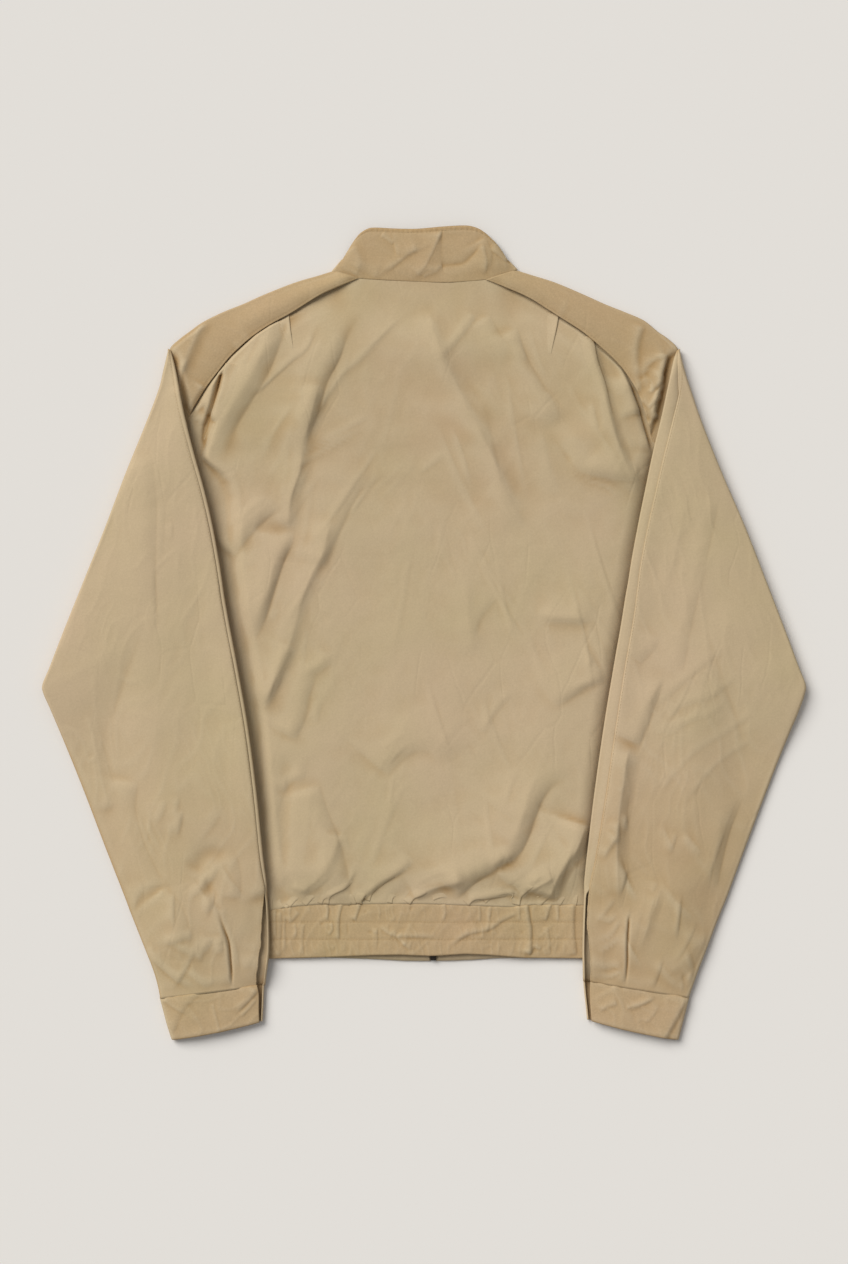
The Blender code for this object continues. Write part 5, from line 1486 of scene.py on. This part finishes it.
def lip_grid(line, width, lift, toward=1, full=0.5):
    """A strip whose first edge, on the line, is folded and stands off the back."""
    path = evenly(line, 1.3)
    direction = np.gradient(path, axis=0)
    direction /= np.hypot(*direction.T)[:, None]
    normal = np.stack([direction[:, 1], -direction[:, 0]], axis=-1)
    normal = normal * np.where(normal @ TOWARDS_LIGHT * toward > 0, 1.0, -1.0)[:, None]
    t = np.linspace(0.0, 1.0, len(path))
    taper = smooth(1.0, full, t)[:, None]
    share = np.array((0.0, 0.02, 0.07, 0.16, 0.28, 0.45, 0.7, 1.0))[None, :]
    across = share * width * lerp(0.35, 1.0, taper)
    x, y = path[:, :1] + normal[:, :1] * across, path[:, 1:] + normal[:, 1:] * across
    rise = lift * taper * (1.0 - share) ** 2.2 - 0.3 * smooth(0.45, 1.0, share)
    lip = np.array((-0.5, -0.15, 0.0, 0, 0, 0, 0, 0))[None, :]
    sunk = 0.9 * smooth(0.8, 1.0, t)[:, None]
    return np.stack([x, y, back_mid(x, y) + rise + lip * taper - sunk], axis=-1)


tucks = {row[0]: cloth(row[0], lip_grid(*row[1:], full=0.1)) for row in TUCKS}
gathers = cloth("waist_gathers", *[lip_grid(*row) for row in GATHERS])
print("tucks:", list(tucks), "and", len(GATHERS), "gathers")

# %% [markdown]
# Topstitching is hundreds of equal stitches along a path, and a zip is hundreds of equal teeth, which is
# work for Geometry Nodes: the path is resampled at the pitch, a small shape is placed on each point, and
# the result is made real and given its finish. One function builds such a tree, another runs it along
# lines of points.

# %% Repeats along a path


def repeat_tree(name, inputs, shape):
    """A tree that repeats a shape along a path. Its inputs are the path, Pitch, Finish and the ones that
    are given; shape adds its own nodes and returns what Instance on Points takes from them."""
    tree = bpy.data.node_groups.new(name, "GeometryNodeTree")
    sockets = {"Geometry": "Geometry", "Pitch": "Float", **inputs, "Finish": "Material"}
    for socket, kind in sockets.items():
        tree.interface.new_socket(name=socket, in_out="INPUT", socket_type="NodeSocket" + kind)
    tree.interface.new_socket(name="Geometry", in_out="OUTPUT", socket_type="NodeSocketGeometry")
    given = add(tree, "NodeGroupInput").outputs
    path = add(tree, "GeometryNodeResampleCurve", {"mode": "LENGTH"}, Curve=given["Geometry"],
               Length=given["Pitch"])
    placed = add(tree, "GeometryNodeInstanceOnPoints", Points=path.outputs[0], **shape(tree, given))
    real = add(tree, "GeometryNodeRealizeInstances", Geometry=placed.outputs[0])
    finished = add(tree, "GeometryNodeSetMaterial", Geometry=real.outputs[0], Material=given["Finish"])
    add(tree, "NodeGroupOutput", Geometry=finished.outputs[0])
    return tree


def repeated(name, lines, tree, **values):
    """Runs a tree along lines of points in millimetres, as one plain mesh. Values are its inputs."""
    curve = bpy.data.curves.new(name + "_path", "CURVE")
    curve.dimensions = "3D"
    for line in lines:
        spline = curve.splines.new("POLY")
        spline.points.add(len(line) - 1)
        spline.points.foreach_set("co", [c for p in line for c in (*[v * MM for v in p], 1.0)])
    path = bpy.data.objects.new(name + "_path", curve)
    bpy.context.scene.collection.objects.link(path)
    nodes = path.modifiers.new("repeat", "NODES")
    nodes.node_group = tree
    for item in tree.interface.items_tree:
        if item.in_out == "INPUT" and item.name in values:
            nodes[item.identifier] = values[item.name]
    mesh = bpy.data.meshes.new_from_object(path.evaluated_get(bpy.context.evaluated_depsgraph_get()))
    mesh.name = name
    made = bpy.data.objects.new(name, mesh)
    bpy.context.scene.collection.objects.link(made)
    bpy.data.objects.remove(path)
    return made


# %% [markdown]
# A stitch is a small spindle, turned along the path. The saddle, the sleeve's seam, the waistband's two
# rows and the collar's top edge each get a line of points on the finished cloth, a little inside an edge.

# %% Stitches
STITCH_PITCH, STITCH_LENGTH, THREAD_THICK = 2.9, 2.2, 0.42
SADDLE_SHOWN = 13  # rows of a saddle's table, from the collar to where it goes under the sleeve
SLEEVE_STITCHES_AT = 1.4  # from the sleeve's seam
COLLAR_STITCHES_IN = 0.068  # of the way from the collar's top edge to its seam


def spindle(tree, given):
    """A stitch of unit size, stretched to its length and thickness."""
    ball = add(tree, "GeometryNodeMeshUVSphere", Segments=6, Rings=4, Radius=0.5)
    turned = add(tree, "FunctionNodeAlignRotationToVector", {"axis": "X"},
                 Vector=add(tree, "GeometryNodeInputTangent").outputs[0])
    size = add(tree, "ShaderNodeCombineXYZ", X=given["Length"], Y=given["Thickness"], Z=given["Thickness"])
    return {"Instance": ball.outputs["Mesh"], "Rotation": turned.outputs[0], "Scale": size.outputs[0]}


def beside(rows, side, inset, own_inset=None):
    """The line this far inside the first edge of a table of sections, plus a column of its own."""
    fine = evenly(rows, 1.5)
    start, end = fine[:, :2] * (side, 1.0), fine[:, 2:4] * (side, 1.0)
    unit = (end - start) / np.hypot(*(end - start).T)[:, None]
    return start + unit * (inset if own_inset is None else fine[:, own_inset : own_inset + 1] + inset)


seams = {"sleeve": [], "saddle": [], "band": [], "collar": []}
for side, name in SIDES:
    saddle_line = beside(SADDLES[side][:SADDLE_SHOWN], side, SADDLE_STITCHES_AT)
    seams["saddle"].append(on_top(f"saddle_{name}", saddle_line))
    inner_first = SLEEVES[side][:, [2, 3, 0, 1, 4]]
    sleeve_line = beside(inner_first, side, SLEEVE_STITCHES_AT, own_inset=4)
    seams["sleeve"].append(on_top(f"sleeve_{name}", sleeve_line))
for row in STITCH_ROWS:
    band_line = [(x, row + 0.25 * math.sin(x * 0.11)) for x in np.arange(-222.0, 222.0, 1.0)]
    seams["band"].append(on_top("waistband_back", band_line))
collar_rows = evenly(COLLAR_BACK, 1.2, columns=(2, 3))
collar_line = lerp(collar_rows[:, 2:], collar_rows[:, :2], COLLAR_STITCHES_IN)
seams["collar"].append(on_top("collar", collar_line[4:-4]))

STITCHES = repeat_tree("stitches", {"Length": "Float", "Thickness": "Float"}, spindle)
STITCH = {"Pitch": STITCH_PITCH * MM, "Length": STITCH_LENGTH * MM, "Thickness": THREAD_THICK * MM}
stitches = {}
for kind, lines in seams.items():
    stitches[kind] = repeated(f"{kind}_stitches", lines, STITCHES, **STITCH, Finish=thread_finish)
    stitches[kind].data.shade_smooth()
print("stitches:", {kind: len(s.data.polygons) for kind, s in stitches.items()})

# %% [markdown]
# The zip lies under the back, closed from the hem to the collar. Its tapes are sewn inside the fronts.
# Each side's teeth are one small moulded shape, repeated by a second tree along the zip's line, and the
# two sides mesh because one is half a pitch further on. The slider, its pull and the box at the hem come
# from the frame as they are, with a better metal.

# %% Zip
TOOTH_PITCH = 2.6
TOOTH_HALF = 1.0  # half its height
TOOTH_OUTLINE = (
    (-1.6, -0.55), (0.3, -0.55), (0.5, -0.95), (1.1, -0.95), (1.5, -0.5),
    (1.5, 0.5), (1.1, 0.95), (0.5, 0.95), (0.3, 0.55), (-1.6, 0.55),
)
TEETH_X = 1.75  # from the zip's line to the middle of a tooth
TAPE_INNER, TAPE_OUTER, TAPE_CLOTH = 3.3, 15.0, 0.8
TAPE_ENDS = (-301.5, 312.0)
TEETH_ENDS = (-296.4, 297.0)
ZIP_LEVELS = np.array([
    # y, middle of the tape
    (-307.0, 3.0), (-250.0, 3.0), (-234.0, 2.2), (185.0, 2.2), (215.0, 2.9), (240.0, 3.75), (251.0, 4.1),
    (261.0, 4.9), (312.0, 4.9),
])


def zip_level(y):
    return np.interp(y, *ZIP_LEVELS.T)


def tape_grid(side):
    x, y = np.meshgrid(ZIP_X + side * np.linspace(TAPE_INNER, TAPE_OUTER, 9), np.linspace(*TAPE_ENDS, 250))
    return np.stack([x, y, zip_level(y)], axis=-1)


def tooth_object():
    """One tooth: a foot that grips the tape and a rounded head that reaches the other side."""
    count = len(TOOTH_OUTLINE)
    corners = [(x * MM, y * MM, z * MM) for z in (-TOOTH_HALF, TOOTH_HALF) for x, y in TOOTH_OUTLINE]
    sides = [(i, (i + 1) % count, count + (i + 1) % count, count + i) for i in range(count)]
    mesh = bpy.data.meshes.new("tooth")
    mesh.from_pydata(corners, [], [range(count)[::-1], range(count, 2 * count), *sides])
    made = bpy.data.objects.new("tooth", mesh)
    bpy.context.scene.collection.objects.link(made)
    return made


def moulded(tree, given):
    """The tooth that is given, turned to face the other side."""
    tooth = add(tree, "GeometryNodeObjectInfo", Object=given["Tooth"])
    turned = add(tree, "ShaderNodeCombineXYZ", Z=given["Turn"])
    return {"Instance": tooth.outputs["Geometry"], "Rotation": turned.outputs[0]}


def teeth_row(side, name, tree, tooth):
    start, end = TEETH_ENDS
    ys = np.linspace(start + (TOOTH_PITCH / 2 if side > 0 else 0.0), end, 120)
    line = [(ZIP_X + side * TEETH_X, y, zip_level(y)) for y in ys]
    turn = math.pi if side > 0 else 0.0
    return repeated(f"teeth_{name}", [line], tree, Pitch=TOOTH_PITCH * MM, Turn=turn, Tooth=tooth,
                    Finish=metal_finish)


tapes = {
    side: cloth(f"tape_{name}", tape_grid(side), thickness=TAPE_CLOTH, finish=tape_finish)
    for side, name in SIDES
}
tooth = tooth_object()
TEETH = repeat_tree("zip teeth", {"Turn": "Float", "Tooth": "Object"}, moulded)
teeth = {side: teeth_row(side, name, TEETH, tooth) for side, name in SIDES}
bpy.data.objects.remove(tooth)
for name in ("zip_slider", "zip_pull", "zip_box"):
    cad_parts[name].data.materials.clear()
    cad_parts[name].data.materials.append(metal_finish)
print("teeth:", [len(t.data.polygons) for t in teeth.values()], "faces")

# %% [markdown]
# Last, each piece is attached to the garment's body, and the solids of the frame that it stands for
# are hidden.

# %% Attach each piece to the garment
told = []


def belongs(piece, slot, *nodes):
    told.append(piece.name)
    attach(piece, "garment")
    if nodes:
        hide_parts(*nodes)


belongs(back, "shell", "back_panel")
belongs(collar, "shell", "collar")
belongs(waistband, "shell", "waistband_back")
belongs(gathers, "shell")
for name, piece in tucks.items():
    belongs(piece, "shell", name)
for side, name in SIDES:
    belongs(saddles[side], "shell", f"sleeve_{name}_upper")
    belongs(sleeve_tops[side], "shell", f"sleeve_{name}_front")
    belongs(sleeve_unders[side], "shell", f"sleeve_{name}_back")
    belongs(cuffs[side], "shell", f"cuff_{name}")
    belongs(fronts[side], "shell", f"front_{name}_panel")
    belongs(front_bands[side], "shell", f"waistband_front_{name}")
    belongs(tapes[side], "zip_tape", f"zip_tape_{name}")
    belongs(teeth[side], "zip_metal", f"zip_chain_{name}")
for piece in stitches.values():
    belongs(piece, "shell")
print(len(told), "pieces ride on the garment")

# %% [markdown]
# Every panel was cut from flat cloth. The width and the length of each cut go here, with its area where
# it isn't a rectangle, and how it is held: laid, folded, or gathered by the elastic. The tucks, the
# gathers and the stitches belong to the panels that they are sewn into.

# %% The cut of each piece
CUTS = {
    # piece: (width, length, area, how it is held, what it lies on)
    back: (0.545, 0.615, 0.281, "laid", [*fronts.values()]),
    waistband: (0.448, 0.055, 0.0235, "gathered", [*front_bands.values()]),
    collar: (0.40, 0.052, 0.0165, "folded", [*fronts.values(), back]),
}
for side, name in SIDES:
    CUTS[fronts[side]] = (0.255, 0.60, 0.130, "laid", [table])
    CUTS[front_bands[side]] = (0.22, 0.052, 0.0112, "laid", [table])
    CUTS[saddles[side]] = (0.12, 0.50, 0.038, "folded", [back, fronts[side]])
    CUTS[sleeve_unders[side]] = (0.185, 0.64, 0.080, "folded", [back, saddles[side]])
    CUTS[sleeve_tops[side]] = (0.19, 0.64, 0.080, "folded", [sleeve_unders[side]])
    CUTS[cuffs[side]] = (0.19, 0.046, 0.0080, "folded", [table])
    CUTS[tapes[side]] = (0.012, 0.615, 0.0073, "laid", [fronts[side]])


def laid_area(points):
    """Area of a panel's middle surface, in square metres."""
    a, b = points[1:, 1:] - points[:-1, :-1], points[1:, :-1] - points[:-1, 1:]
    return np.linalg.norm(np.cross(a, b), axis=-1).sum() / 2 * MM**2


for piece, (width, length, area, held, under) in CUTS.items():
    laid = laid_area(PANELS[piece.name.removesuffix("_cloth")][0])
    print(f"{piece.name:27s} {laid:.4f} m2 laid, {area:.4f} m2 cut")
